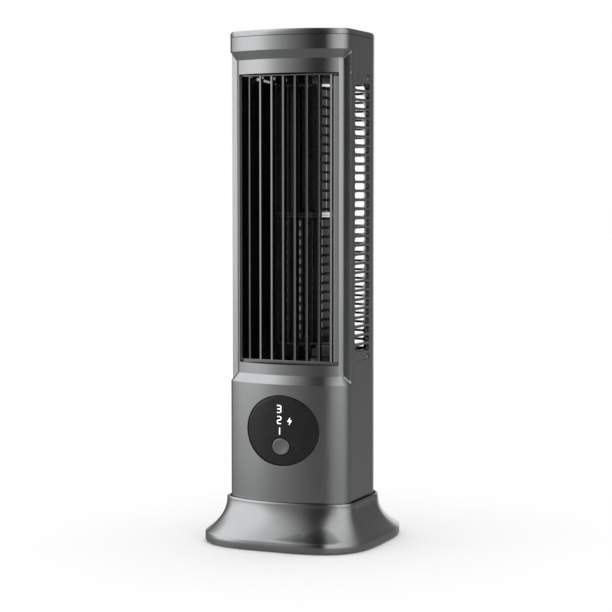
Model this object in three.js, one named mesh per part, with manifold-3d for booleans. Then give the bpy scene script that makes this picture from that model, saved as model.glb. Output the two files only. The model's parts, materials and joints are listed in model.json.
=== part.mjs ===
// Rechargeable tower fan: a tall rounded housing with a recessed outlet on a flared base.
// Millimetres, +Z up, front towards -Y. Z = 0 is the floor under the rubber feet.
import * as THREE from 'three';
import { mergeVertices } from 'three/addons/utils/BufferGeometryUtils.js';
import Module from 'manifold-3d';

const wasm = await Module();
wasm.setup();

// ---- driving sizes -------------------------------------------------------
const totalHeight = 286;
const bodyWidth = 73;
const bodyDepth = 63.4;
const frontRadius = 74;
const frontCorner = 9;
const rearCorner = 18.5;
const wall = 2;
const baseWidth = 101;
const baseDepth = 99;
const basePower = 3.3;
const baseHeight = 24.8;
const lipHeight = 5;
const footHeight = 0.8;
const recess = 4;
const headHeight = 11.3;
const controlHeight = 69.5;
const brow = 7.8;
const sill = 5.9;
const windowMargin = 2.1;
const capHeight = 3.5;
const socketDepth = 4;
const shelfThick = 2;
const slotGap = 21.9;
const slotForward = 12.7;
const bevelHeight = 4.7;
const plateHalf = 32.2;
const fit = 0.1;
const slide = 0.3;
const slotRows = 32;
const slotOpen = 3.6;
const finCount = 8;
const finThick = 1.3;
const bladeCount = 22;

// ---- derived sizes -------------------------------------------------------
const W = bodyWidth / 2;
const front = -bodyDepth / 2;
const back = bodyDepth / 2;
const arcY = front + frontRadius;
const shelfTop = baseHeight - socketDepth;
const bodyBottom = shelfTop + fit;
const capJoint = totalHeight - capHeight;
const upperEdge = totalHeight - headHeight;
const recessTop = upperEdge - bevelHeight;
const windowTop = recessTop - brow;
const lowerEdge = bodyBottom + controlHeight;
const recessBottom = lowerEdge + bevelHeight;
const windowBottom = recessBottom + sill;
const windowHalf = plateHalf - windowMargin;
const partingY = back - rearCorner + 0.8;
const slotFront = -slotForward;
const slotBack = slotFront + slotGap;
const slotLow = windowBottom + 1.6;
const slotHigh = windowTop - 0.2;
const slotPitch = (slotHigh - slotLow - slotOpen) / (slotRows - 1);
const mountTop = windowBottom - 0.6;
const mountThick = 2.5;
const bearingLow = windowTop + 0.4;
const bearingThick = 2.4;
const axisY = 6;
const rotorRadius = Math.min(W - 16, back - axisY - 5.2);
const rotorLow = windowBottom + 9.9;
const rotorHigh = windowTop - 5.4;
const rotorMid = (rotorLow + rotorHigh) / 2;
const discThick = 1.6;
const pinRadius = 1.5;
const finBack = axisY - rotorRadius - 1.5;
const finRadius = 238;
const barHalf = windowHalf - 0.9;
const barGap = 0.25;
// the bars lie close behind the recessed wall, which they come nearest to at their ends
const barEnd = arcY - Math.sqrt((frontRadius - recess - wall) ** 2 - barHalf ** 2) + barGap;
const finFront = barEnd - finRadius + Math.sqrt(finRadius ** 2 - barHalf ** 2);
const lensHalfX = 21.6;
const lensHalfZ = 19.4;
const lensZ = shelfTop + 44;
const buttonHalfX = 5.1;
const buttonHalfZ = 4.7;
const buttonZ = lensZ - 9;
const lensSink = 0.5;
const lensThick = 1.4;
const padThick = 2.2;
const boardY = front + 9.4;
const boardThick = 1.6;
const motorRadius = 12;
const motorHigh = mountTop - mountThick;
const motorLow = motorHigh - 20;
const cellRadius = 9.2;
const cellLength = 65;
const cellY = 9;
const cellZ = shelfTop + cellRadius + 4.2;
const socketZ = cellZ + cellRadius + 8.8;

// ---- small tools ---------------------------------------------------------
const V2 = (x, y) => new THREE.Vector2(x, y);
const V3 = (x, y, z) => new THREE.Vector3(x, y, z);

// points of an arc from angle a to angle b in n steps
function arc(cx, cy, r, a, b, n) {
  const points = [];
  for (let k = 0; k <= n; k += 1) {
    const t = a + ((b - a) * k) / n;
    points.push(V2(cx + r * Math.cos(t), cy + r * Math.sin(t)));
  }
  return points;
}

// a closed solid with manifold's own mesh, from any closed three.js geometry
function solid(geometry) {
  geometry.deleteAttribute('normal');
  geometry.deleteAttribute('uv');
  const merged = mergeVertices(geometry, 1e-5);
  return new wasm.Manifold(new wasm.Mesh({
    numProp: 3,
    vertProperties: new Float32Array(merged.attributes.position.array),
    triVerts: new Uint32Array(merged.index.array),
  }));
}

function toGeometry(body) {
  const mesh = body.getMesh();
  const geometry = new THREE.BufferGeometry();
  geometry.setAttribute('position', new THREE.BufferAttribute(new Float32Array(mesh.vertProperties), 3));
  geometry.setIndex(new THREE.BufferAttribute(new Uint32Array(mesh.triVerts), 1));
  return geometry;
}

function extruded(points, depth) {
  return new THREE.ExtrudeGeometry(new THREE.Shape(points), { depth, bevelEnabled: false });
}

// upright prism over a plan outline
function prism(points, z0, z1) {
  const geometry = extruded(points, z1 - z0);
  geometry.translate(0, 0, z0);
  return solid(geometry);
}

// prism over an outline in the XZ plane, running along Y
function prismY(points, y0, y1) {
  const geometry = extruded(points, y1 - y0);
  geometry.rotateX(Math.PI / 2);
  geometry.translate(0, y1, 0);
  return solid(geometry);
}

// prism over an outline in the YZ plane, running along X
function prismX(points, x0, x1) {
  const geometry = extruded(points, x1 - x0);
  geometry.rotateX(Math.PI / 2);
  geometry.rotateZ(Math.PI / 2);
  geometry.translate(x0, 0, 0);
  return solid(geometry);
}

function box(x0, x1, y0, y1, z0, z1) {
  const geometry = new THREE.BoxGeometry(x1 - x0, y1 - y0, z1 - z0);
  geometry.translate((x0 + x1) / 2, (y0 + y1) / 2, (z0 + z1) / 2);
  return solid(geometry);
}

function rod(x, y, r, z0, z1, n = 24) {
  return prism(arc(x, y, r, 0, 2 * Math.PI, n).slice(1), z0, z1);
}

function rodY(x, z, r, y0, y1, n = 20) {
  return prismY(arc(x, z, r, 0, 2 * Math.PI, n).slice(1), y0, y1);
}

function rodX(y, z, r, x0, x1, n = 32) {
  return prismX(arc(y, z, r, 0, 2 * Math.PI, n).slice(1), x0, x1);
}

// turned piece about an upright axis, from a profile of [radius, height]
function turned(profile, x, y, n = 32) {
  const geometry = new THREE.LatheGeometry(profile.map(([r, z]) => V2(r, z)), n);
  geometry.rotateX(Math.PI / 2);
  geometry.translate(x, y, 0);
  return solid(geometry);
}

// closed skin through rings that all hold the same number of points
function loft(rings) {
  const count = rings[0].points.length;
  const positions = [];
  const index = [];
  for (const ring of rings) {
    for (const p of ring.points) {
      positions.push(p.x, p.y, ring.z);
    }
  }
  for (let r = 0; r + 1 < rings.length; r += 1) {
    for (let k = 0; k < count; k += 1) {
      const a = r * count + k;
      const b = r * count + ((k + 1) % count);
      index.push(a, b, b + count, a, b + count, a + count);
    }
  }
  const last = (rings.length - 1) * count;
  for (const [a, b, c] of THREE.ShapeUtils.triangulateShape(rings[0].points, [])) {
    index.push(c, b, a);
  }
  for (const [a, b, c] of THREE.ShapeUtils.triangulateShape(rings[rings.length - 1].points, [])) {
    index.push(last + a, last + b, last + c);
  }
  const geometry = new THREE.BufferGeometry();
  geometry.setAttribute('position', new THREE.BufferAttribute(new Float32Array(positions), 3));
  geometry.setIndex(index);
  return solid(geometry);
}

// outline with round ends, long side between (a0, b) and (a1, b)
function stadium(a0, a1, b, height, n = 4) {
  const r = height / 2;
  const right = arc(a1 - r, b, r, -Math.PI / 2, Math.PI / 2, n);
  const left = arc(a0 + r, b, r, Math.PI / 2, 1.5 * Math.PI, n);
  return [...right, ...left];
}

// rounded rectangle outline centred on (x, y)
function rounded(x, y, w, h, r, n = 4) {
  return [
    ...arc(x + w / 2 - r, y - h / 2 + r, r, -Math.PI / 2, 0, n),
    ...arc(x + w / 2 - r, y + h / 2 - r, r, 0, Math.PI / 2, n),
    ...arc(x - w / 2 + r, y + h / 2 - r, r, Math.PI / 2, Math.PI, n),
    ...arc(x - w / 2 + r, y - h / 2 + r, r, Math.PI, 1.5 * Math.PI, n),
  ];
}

function ellipse(x, z, rx, rz, n = 48) {
  return arc(0, 0, 1, 0, 2 * Math.PI, n).slice(1).map((p) => V2(x + rx * p.x, z + rz * p.y));
}

// round lead along a smooth route
function lead(route, r = 0.6, steps = 14) {
  const curve = new THREE.CatmullRomCurve3(route.map(([x, y, z]) => V3(x, y, z)));
  const shape = new THREE.Shape(arc(0, 0, r, 0, 2 * Math.PI, 6).slice(1));
  return solid(new THREE.ExtrudeGeometry(shape, { steps, bevelEnabled: false, extrudePath: curve }));
}

// ---- outlines of the body ------------------------------------------------
// a shallow arc across the front, tight front corners, flat sides and wider rear corners
function bodyPlan(inset = 0) {
  const cornerX = W - frontCorner;
  const cornerY = arcY - Math.sqrt((frontRadius - frontCorner) ** 2 - cornerX ** 2);
  const turn = Math.asin(cornerX / (frontRadius - frontCorner));
  const r = Math.max(frontCorner - inset, 0.5);
  const rr = rearCorner - inset;
  const half = [
    ...arc(0, arcY, frontRadius - inset, -Math.PI / 2, -Math.PI / 2 + turn, 10),
    ...arc(cornerX, cornerY, r, -Math.PI / 2 + turn, 0, 6).slice(1),
    ...arc(W - rearCorner, back - rearCorner, rr, 0, Math.PI / 2, 7),
  ];
  return mirrored(half);
}

// the outlet part stands back from that arc and ends in a narrow ledge at each side
function recessPlan(inset = 0) {
  const r = frontRadius - recess - inset;
  const edge = plateHalf - inset;
  const soft = 0.8;
  const slope = 1.45;
  const turn = Math.asin((edge - soft) / r);
  const end = arcY - Math.sqrt(r ** 2 - (edge - soft) ** 2);
  const ledgeIn = arcY - Math.sqrt((frontRadius - recess) ** 2 - plateHalf ** 2) + 0.9;
  const half = [
    ...arc(0, arcY, r, -Math.PI / 2, -Math.PI / 2 + turn, 10),
    V2(edge - 0.2, end + 0.45),
    V2(edge, ledgeIn + inset),
    V2(W - inset - (inset > 0 ? 0 : 0.27), ledgeIn + slope + inset),
    V2(W - inset, ledgeIn + 2 * slope + inset),
    ...arc(W - rearCorner, back - rearCorner, rearCorner - inset, 0, Math.PI / 2, 7),
  ];
  return mirrored(half);
}

// completes a right-hand half, front centre to back, with its mirror image
function mirrored(half) {
  const other = half.slice(1).map((p) => V2(-p.x, p.y)).reverse();
  return [...half, ...other];
}

// outline of the base: a square softened all the way round
function basePlan(inset, n = 48) {
  const points = [];
  for (let k = 0; k < n; k += 1) {
    const t = -Math.PI / 2 + (2 * Math.PI * k) / n;
    const c = Math.cos(t);
    const s = Math.sin(t);
    points.push(V2(
      Math.sign(c) * (baseWidth / 2 - inset) * Math.abs(c) ** (2 / basePower),
      Math.sign(s) * (baseDepth / 2 - inset) * Math.abs(s) ** (2 / basePower),
    ));
  }
  return points;
}

// the same directions from the middle, on the body's outline grown outwards
function rimPlan(grow, n = 48) {
  const outline = bodyPlan(-grow);
  return basePlan(0, n).map((p) => hitOutline(outline, Math.atan2(p.y, p.x)));
}

function hitOutline(outline, angle) {
  const dx = Math.cos(angle);
  const dy = Math.sin(angle);
  let best = V2(0, 0);
  for (let k = 0; k < outline.length; k += 1) {
    const a = outline[k];
    const b = outline[(k + 1) % outline.length];
    const cross = dx * (b.y - a.y) - dy * (b.x - a.x);
    if (Math.abs(cross) > 1e-9) {
      const reach = (a.x * (b.y - a.y) - a.y * (b.x - a.x)) / cross;
      const along = (a.x * dy - a.y * dx) / cross;
      if (reach > 0 && along >= -1e-9 && along <= 1 + 1e-9 && reach > best.length()) {
        best = V2(dx * reach, dy * reach);
      }
    }
  }
  return best;
}

function blend(a, b, t) {
  return a.map((p, k) => V2(p.x + (b[k].x - p.x) * t, p.y + (b[k].y - p.y) * t));
}

const parts = [];

function add(name, body, colour, roughness, metalness) {
  const material = new THREE.MeshStandardMaterial({ color: colour, roughness, metalness });
  const mesh = new THREE.Mesh(toGeometry(body), material);
  mesh.name = name;
  parts.push(mesh);
}

const paint = [0x6d6f72, 0.32, 0.75];
const black = [0x121213, 0.45, 0];
const rubber = [0x1c1c1d, 0.85, 0];
const steel = [0xb4b6b8, 0.3, 1];
const white = [0xe8e8e4, 0.5, 0];

// ---- housing -------------------------------------------------------------
// outer skin: full outline at the head and foot, bevelled back to the recessed outlet section
const bevelRun = 1.2;
const section = prism(recessPlan(), lowerEdge - 1, upperEdge + 1);
const foot = loft([
  { z: bodyBottom, points: bodyPlan() },
  { z: lowerEdge, points: bodyPlan() },
  { z: recessBottom + bevelRun, points: bodyPlan(recess + bevelRun * recess / bevelHeight) },
]);
const head = loft([
  { z: recessTop - bevelRun, points: bodyPlan(recess + bevelRun * recess / bevelHeight) },
  { z: upperEdge, points: bodyPlan() },
  { z: capJoint, points: bodyPlan() },
]);
const footHollow = prism(bodyPlan(wall), bodyBottom - 1, lowerEdge - 1.5);
const headHollow = prism(bodyPlan(wall), upperEdge + 1.5, capJoint + 1);
const sectionHollow = prism(recessPlan(wall), lowerEdge - 2, upperEdge + 2);
let shell = section.add(foot).add(head);
shell = shell.subtract(footHollow).subtract(headHollow).subtract(sectionHollow);

// outlet window
const windowCut = box(-windowHalf, windowHalf, front - 5, front + 14, windowBottom, windowTop);

// rows of slots in the sides and, on either side of a spine, in the back;
// the end rows are only shallow marks in the side walls
const markDepth = 0.7;
const spine = 4;
const rearSlotEnd = W - 9.5;
const slotCuts = [];
const rearCuts = [];
for (let k = 0; k < slotRows; k += 1) {
  const z = slotLow + slotOpen / 2 + k * slotPitch;
  const outline = stadium(slotFront, slotBack, z, slotOpen, 3);
  if (k === 0 || k === slotRows - 1) {
    slotCuts.push(prismX(outline, W - markDepth, W + 3));
    slotCuts.push(prismX(outline, -W - 3, -W + markDepth));
  } else {
    slotCuts.push(prismX(outline, -W - 3, W + 3));
    rearCuts.push(prismY(stadium(spine, rearSlotEnd, z, slotOpen, 2), partingY + 4, back + 3));
    rearCuts.push(prismY(stadium(-rearSlotEnd, -spine, z, slotOpen, 2), partingY + 4, back + 3));
  }
}

// four posts that take the rear cover's screws, two low and two high
const screwX = W - 8.5;
const postZ = [socketZ + 6, upperEdge - 1];
const postPlaces = postZ.flatMap((z) => [[-screwX, z], [screwX, z]]);
const postRadius = 3.2;
const postLength = 12;
const postEnd = partingY - 0.1;
const screwRadius = 1.3;
const intoWall = W - wall / 2;
for (const [x, z] of postPlaces) {
  const wallX = Math.sign(x) * intoWall;
  const rib = box(Math.min(x, wallX), Math.max(x, wallX), partingY - postLength, postEnd, z - 1, z + 1);
  shell = shell.add(rodY(x, z, postRadius, partingY - postLength, postEnd)).add(rib);
}
// two posts for the base screws at the front, two on the rear cover
const rearScrewY = cellY + cellRadius + 2.8;
const baseScrewPlaces = [[-24, -12], [24, -12], [-17, rearScrewY], [17, rearScrewY]];
const basePostTop = bodyBottom + 9;
for (const [x, y] of baseScrewPlaces) {
  const wallX = Math.sign(x) * intoWall;
  const rib = y < 0
    ? box(Math.min(x, wallX), Math.max(x, wallX), y - 1, y + 1, bodyBottom, basePostTop)
    : box(x - 1, x + 1, y, back - wall / 2, bodyBottom, basePostTop);
  shell = shell.add(rod(x, y, postRadius, bodyBottom, basePostTop, 20)).add(rib);
}

// seat for the display lens: a thicker pad with an oval pocket that follows the front arc
const tubeReach = lensHalfZ + 10;
const drum = (sink, reach) => rod(0, arcY, frontRadius - sink, lensZ - reach, lensZ + reach, 160);
const tube = (outer, inner) => drum(outer, tubeReach).subtract(drum(inner, tubeReach + 1));
const padRim = 1.6;
const lensGap = 0.35;
const buttonGap = 0.3;
const behindLens = front + 9;
const ovalY = (grow, y0, y1) => prismY(ellipse(0, lensZ, lensHalfX + grow, lensHalfZ + grow), y0, y1);
const pocketDepth = lensSink + lensThick + 0.05;
const pad = ovalY(padRim, front - 1, behindLens).intersect(tube(wall / 2, wall + padThick));
const pocket = ovalY(lensGap, front - 2, behindLens).intersect(tube(-3, pocketDepth));
const bay = { left: -4.2, right: 8.2, low: buttonZ + 6.4, high: lensZ + 15.4 };
const bayCut = box(bay.left, bay.right, front - 1, behindLens, bay.low, bay.high);
const buttonOval = (grow) => ellipse(0, buttonZ, buttonHalfX + grow, buttonHalfZ + grow);
const buttonHole = prismY(buttonOval(buttonGap), front - 2, behindLens);
shell = shell.add(pad).subtract(pocket).subtract(bayCut).subtract(buttonHole);

// the two shells part behind the slots; screw holes, screw wells and the charging opening
let frontShell = shell.subtract(windowCut);
for (const cut of slotCuts) {
  frontShell = frontShell.subtract(cut);
}
const frontZone = box(-W - 5, W + 5, front - 5, partingY - 0.05, 0, totalHeight);
const rearZone = box(-W - 5, W + 5, partingY + 0.05, back + 5, 0, totalHeight);
frontShell = frontShell.intersect(frontZone);
let rearShell = shell.intersect(rearZone);
for (const cut of rearCuts) {
  rearShell = rearShell.subtract(cut);
}
const headDepth = 7;
const headRadius = 2.6;
const screwLength = 8;
const threadGap = 0.05;
const midWall = prism(bodyPlan(wall / 2), 0, totalHeight);
const shankGap = 0.25;
for (const [x, z] of postPlaces) {
  const pilot = rodY(x, z, screwRadius + threadGap, partingY - screwLength - 1, partingY + 1, 12);
  frontShell = frontShell.subtract(pilot);
  const boss = rodY(x, z, 3.8, partingY + 0.05, back - 1).intersect(midWall);
  rearShell = rearShell.add(boss)
    .subtract(rodY(x, z, screwRadius + shankGap, partingY - 1, back + 1, 12))
    .subtract(rodY(x, z, headRadius + slide, partingY + headDepth, back + 4));
}
for (const [x, y] of baseScrewPlaces) {
  const hole = rod(x, y, screwRadius + threadGap, bodyBottom - 1, bodyBottom + screwLength - 0.4, 12);
  frontShell = frontShell.subtract(hole);
  rearShell = rearShell.subtract(hole);
}
const socketOutline = (grow) => stadium(-4.5 - grow, 4.5 + grow, socketZ, 3.2 + 2 * grow, 5);
rearShell = rearShell.subtract(prismY(socketOutline(0.3), back - 8, back + 1));
add('front_housing', frontShell, ...paint);
add('rear_cover', rearShell, ...paint);

// ---- top cap -------------------------------------------------------------
const spigot = prism(bodyPlan(wall + slide), capJoint - 4, capJoint + 0.5)
  .subtract(prism(bodyPlan(wall + slide + 1.5), capJoint - 5, capJoint + 0.02));
const cap = loft([
  { z: capJoint + fit, points: bodyPlan() },
  { z: totalHeight - 1.8, points: bodyPlan() },
  { z: totalHeight - 0.9, points: bodyPlan(0.25) },
  { z: totalHeight - 0.3, points: bodyPlan(0.85) },
  { z: totalHeight, points: bodyPlan(1.8) },
]);
add('top_cap', cap.add(spigot), ...paint);

// ---- outlet grille -------------------------------------------------------
const finY = (x) => finFront + finRadius - Math.sqrt(finRadius ** 2 - x ** 2);
const finEnd = 5.3;
const finSpan = 2 * (windowHalf - finEnd) / (finCount - 1);
const barPlan = [];
for (let k = 0; k <= 10; k += 1) {
  const x = -barHalf + (2 * barHalf * k) / 10;
  barPlan.push(V2(x, finY(x)));
}
barPlan.push(V2(barHalf, finBack));
barPlan.push(V2(-barHalf, finBack));
const barShow = 1.8;
const barHidden = 3;
let grille = prism(barPlan, windowTop - barShow, windowTop + barHidden);
grille = grille.add(prism(barPlan, windowBottom - barHidden, windowBottom + barShow));
for (let k = 0; k < finCount; k += 1) {
  const x = (k - (finCount - 1) / 2) * finSpan;
  const half = finThick / 2;
  grille = grille.add(box(x - half, x + half, finY(x), finBack - 0.4, windowBottom, windowTop));
}
add('outlet_grille', grille, ...paint);

// ---- air path ------------------------------------------------------------
// guide wall that wraps the rotor from the back round its left side, then runs forward to the outlet
const guideLow = mountTop + fit;
const guideHigh = bearingLow - fit;
const guide = [];
const guideSteps = 12;
const guideThick = 1.4;
const guideFrom = 112;
const guideTo = 180;
const guideStart = rotorRadius + 2.2;
const guideEnd = W - wall - 2;
for (let k = 0; k <= guideSteps; k += 1) {
  const t = k / guideSteps;
  const angle = THREE.MathUtils.degToRad(guideFrom + (guideTo - guideFrom) * t);
  const r = guideStart + (guideEnd - guideStart) * t;
  guide.push(V2(r * Math.cos(angle), axisY + r * Math.sin(angle)));
}
guide.push(V2(-guideEnd, finBack + 0.5));
const guideOut = guide.map((p, k) => {
  const before = guide[Math.max(k - 1, 0)];
  const after = guide[Math.min(k + 1, guide.length - 1)];
  const d = V2(after.x - before.x, after.y - before.y).normalize();
  return V2(p.x + guideThick * d.y, p.y - guideThick * d.x);
});
add('air_guide', prism([...guide, ...guideOut.slice().reverse()], guideLow, guideHigh), ...black);

// short wall on the right that keeps the outgoing air from turning back
const tongueGap = 0.7;
const tongueX = windowHalf - tongueGap;
const tongueWide = 3.3;
const tongueInner = tongueX - tongueWide;
const tonguePlan = [
  V2(tongueX, finY(tongueX)),
  V2(tongueX, finBack + 3),
  V2(rotorRadius + 3.4, axisY - 11),
  V2(rotorRadius + 2, axisY - 10.6),
  V2(tongueInner, finBack + 1.6),
  V2(tongueInner, finY(tongueX)),
];
const tongueLow = windowBottom + barShow + fit;
const tongueHigh = windowTop - barShow - fit;
add('outlet_tongue', prism(tonguePlan, tongueLow, tongueHigh), ...paint);

// ---- rotor ---------------------------------------------------------------
// one moulded half of the rotor: two discs joined by a ring of curved blades;
// sweep and thickness of a blade are angles seen from the axis
const bladeChord = 6;
const bladeSweep = 0.34;
const bladeAngle = 0.055;
function rotorHalf(z0, z1, turn) {
  let body = rod(0, axisY, rotorRadius, z0, z0 + discThick, 44);
  body = body.add(rod(0, axisY, rotorRadius, z1 - discThick, z1, 44));
  const blade = [];
  const inner = [];
  for (let k = 0; k <= 3; k += 1) {
    const t = k / 3;
    const r = rotorRadius - 0.5 - bladeChord * (1 - t);
    const a = bladeSweep * (Math.sin((t * Math.PI) / 2) - 0.5);
    blade.push(V2(r * Math.cos(a), r * Math.sin(a)));
    inner.push(V2(r * Math.cos(a - bladeAngle), r * Math.sin(a - bladeAngle)));
  }
  const outline = [...inner, ...blade.reverse()];
  const one = prism(outline, z0 + 0.5, z1 - 0.5);
  for (let k = 0; k < bladeCount; k += 1) {
    const degrees = ((k + turn) * 360) / bladeCount;
    body = body.add(one.rotate([0, 0, degrees]).translate([0, axisY, 0]));
  }
  return body;
}
const hubRadius = 5;
const bushRadius = 3.5;
const shaftRadius = 1.15;
const shaftTop = rotorLow + 3.3;
const pressGap = 0.02;
const lowerHalf = rotorHalf(rotorLow, rotorMid - 0.05, 0)
  .add(rod(0, axisY, hubRadius, rotorLow - 3, rotorLow + 4))
  .subtract(rod(0, axisY, bushRadius + 0.05, rotorLow - 4, rotorLow + 6, 24));
const upperHalf = rotorHalf(rotorMid + 0.05, rotorHigh, 0.5)
  .add(rod(0, axisY, hubRadius, rotorHigh - 4, rotorHigh + 1))
  .subtract(rod(0, axisY, pinRadius + pressGap, rotorHigh - 3.5, rotorHigh + 2, 16));
add('rotor_lower', lowerHalf, ...black);
add('rotor_upper', upperHalf, ...black);
const bush = rod(0, axisY, bushRadius, rotorLow - 3.4, rotorLow + 5, 24)
  .subtract(rod(0, axisY, shaftRadius + pressGap, rotorLow - 4, shaftTop + 0.2, 16));
add('drive_bush', bush, 0xb48a45, 0.35, 1);
const pinTop = bearingLow + bearingThick + 1.5;
add('rotor_pin', rod(0, axisY, pinRadius, rotorHigh - 3.4, pinTop, 16), ...steel);

// ---- upper bearing -------------------------------------------------------
// both cross plates fit the hollow of the housing, from behind the grille to short of the rear screws
const platePlan = recessPlan(wall + slide);
const plateZone = box(-W, W, finBack + 0.9, partingY + 12, 0, totalHeight);
const bossRadius = 8;
const holderRadius = 6;
const sleeveRadius = 3;
const ring = (outer, inner, z0, z1, n = 24) => rod(0, axisY, outer, z0, z1)
  .subtract(rod(0, axisY, inner, z0 - 1, z1 + 1, n));
const bearingPlate = prism(platePlan, bearingLow, bearingLow + bearingThick).intersect(plateZone)
  .add(rod(0, axisY, bossRadius, bearingLow, bearingLow + 5.5))
  .subtract(rod(0, axisY, holderRadius + 0.05, bearingLow - 1, bearingLow + 7));
add('bearing_plate', bearingPlate, ...black);
add('bearing_rubber', ring(holderRadius, sleeveRadius + 0.05, bearingLow, bearingLow + 5.4), ...rubber);
const sleeve = ring(sleeveRadius, pinRadius + 0.05, bearingLow + 0.2, bearingLow + 5.2, 16);
add('bearing_sleeve', sleeve, 0xa87b3c, 0.4, 1);

// ---- motor and its plate -------------------------------------------------
const neckRadius = 4;
const shaftHole = shaftRadius + shankGap;
let mount = prism(platePlan, mountTop - mountThick, mountTop).intersect(plateZone)
  .subtract(rod(0, axisY, neckRadius + fit, mountTop - 4, mountTop + 1));
let can = rod(0, axisY, motorRadius, motorLow + 3, motorHigh - 0.02, 40)
  .add(rod(0, axisY, neckRadius, motorHigh - 0.1, mountTop + 0.4))
  .subtract(rod(0, axisY, shaftHole, motorLow, mountTop + 1, 16));
const motorScrews = [[-8, axisY], [8, axisY]];
const motorScrewRadius = 1.2;
for (const [x, y] of motorScrews) {
  mount = mount.subtract(rod(x, y, motorScrewRadius + 0.15, mountTop - 4, mountTop + 1, 12));
  can = can.subtract(rod(x, y, motorScrewRadius + threadGap, motorHigh - 2.5, motorHigh + 1, 12));
}
add('motor_mount', mount, ...black);
add('motor_can', can, ...steel);
const tab = (x) => box(x - 0.6, x + 0.6, axisY - 8.5, axisY - 6, motorLow - 2.5, motorLow + 1);
const bell = rod(0, axisY, motorRadius - 0.4, motorLow, motorLow + 2.95, 40)
  .subtract(rod(0, axisY, shaftHole, motorLow + 1.2, motorLow + 4, 16))
  .add(tab(-5))
  .add(tab(5));
add('motor_end_bell', bell, ...white);
add('motor_shaft', rod(0, axisY, shaftRadius, motorLow + 1.5, shaftTop, 16), ...steel);
motorScrews.forEach(([x, y], k) => {
  const screw = rod(x, y, 2.2, mountTop + 0.02, mountTop + 1.4, 16)
    .add(rod(x, y, motorScrewRadius, motorHigh - 2.2, mountTop + 0.5, 12))
    .subtract(box(x - 1.5, x + 1.5, y - 0.3, y + 0.3, mountTop + 0.8, mountTop + 2));
  add(`motor_screw_${k + 1}`, screw, ...steel);
});

// ---- display and power button --------------------------------------------
// strokes of the figures, on a grid 1 wide and 1 high, drawn with one pen width
const pen = 0.42;
function stroke(points, x, z, w, h) {
  let body = null;
  for (let k = 0; k + 1 < points.length; k += 1) {
    const a = V2(x + points[k][0] * w, z + points[k][1] * h);
    const b = V2(x + points[k + 1][0] * w, z + points[k + 1][1] * h);
    const t = Math.atan2(b.y - a.y, b.x - a.x);
    const outline = [
      ...arc(b.x, b.y, pen, t - Math.PI / 2, t + Math.PI / 2, 4),
      ...arc(a.x, a.y, pen, t + Math.PI / 2, t + 1.5 * Math.PI, 4),
    ];
    const piece = prismY(outline, front - 2, behindLens);
    body = body ? body.add(piece) : piece;
  }
  return body;
}
const figureX = -1.1;
const figureZ = [0, 1, 2].map((k) => lensZ - 0.3 + 6.15 * k);
const figureWide = 2.2;
const figureHigh = 3.9;
const boltX = 5.1;
const boltZ = lensZ + 5.4;
const bend = [[0.3, 0.5], [0.5, 0.34], [0.5, 0.16], [0.3, 0]];
const openBend = [[-0.3, 0], [-0.5, -0.16], [-0.5, -0.34], [-0.35, -0.5]];
const lowerBend = [[0.3, 0], [0.5, -0.16], [0.5, -0.34], [0.3, -0.5]];
const strokeOne = [[0.12, 0.5], [0.12, -0.5]];
const strokeTwo = [[-0.4, 0.5], ...bend, ...openBend, [0.4, -0.5]];
const strokeThree = [[-0.5, 0.5], ...bend, [-0.4, 0], ...lowerBend, [-0.5, -0.5]];
const bolt = [[0.3, 2.3], [-1.35, -0.3], [-0.15, -0.3], [-0.45, -2.3], [1.35, 0.5], [0.15, 0.5]];
const figures = {
  window_one: stroke(strokeOne, figureX, figureZ[0], figureWide, 3.4),
  window_two: stroke(strokeTwo, figureX, figureZ[1], figureWide, figureHigh),
  window_three: stroke(strokeThree, figureX, figureZ[2], figureWide, figureHigh),
  window_bolt: prismY(bolt.map(([x, z]) => V2(boltX + x, boltZ + z)), front - 2, behindLens),
};
const lensTube = tube(lensSink, lensSink + lensThick);
let lens = ovalY(0, front - 2, behindLens).intersect(lensTube).subtract(buttonHole);
for (const [name, figure] of Object.entries(figures)) {
  lens = lens.subtract(figure);
  add(name, figure.intersect(lensTube), 0xf4f6f8, 0.4, 0);
}
add('display_lens', lens, 0x1d1e20, 0.12, 0);
// the button stands proud of the lens and rests on the plunger of the switch behind it
const switchFront = boardY - 3.4;
const plungerFront = switchFront - 1.2;
const button = prismY(buttonOval(0), front - 0.1, front + 3.4)
  .add(rodY(0, buttonZ, 2, front + 3, plungerFront - 0.02, 16));
add('power_button', button, 0x8a8c8e, 0.4, 0.6);
add('switch_plunger', rodY(0, buttonZ, 1.7, plungerFront, switchFront + 0.7, 16), 0x2a2a2c, 0.5, 0);
const switchBody = box(-3, 3, switchFront, boardY - 0.02, buttonZ - 3, buttonZ + 3)
  .subtract(rodY(0, buttonZ, 1.8, switchFront - 1, switchFront + 1.7, 16));
add('switch_body', switchBody, 0xb9bcc0, 0.4, 0.8);
const boardLow = buttonZ - 14;
const boardHigh = lensZ + 20;
const boardPlan = rounded(0, (boardLow + boardHigh) / 2, 38, boardHigh - boardLow, 1.5, 2);
add('main_board', prismY(boardPlan, boardY, boardY + boardThick), 0x1f5a38, 0.5, 0);
// a white block behind the figures, with a cell for each light
const ledPlaces = {
  led_one: [figureX + 0.2, figureZ[0]],
  led_two: [figureX, figureZ[1]],
  led_three: [figureX, figureZ[2]],
  led_bolt: [boltX, boltZ],
};
const boardFace = boardY - 0.02;
const baffleFront = front + pocketDepth + 0.6;
const bayGap = 0.2;
let baffle = box(
  bay.left + bayGap, bay.right - bayGap, baffleFront, boardFace, bay.low + bayGap, bay.high - bayGap,
);
for (const [name, [x, z]] of Object.entries(ledPlaces)) {
  baffle = baffle.subtract(box(x - 2.1, x + 2.1, front, boardY + 1, z - 2.5, z + 2.5));
  add(name, box(x - 1.3, x + 1.3, boardY - 0.9, boardFace, z - 0.9, z + 0.9), 0xf2ecd0, 0.4, 0);
}
add('light_baffle', baffle, ...white);

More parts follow.
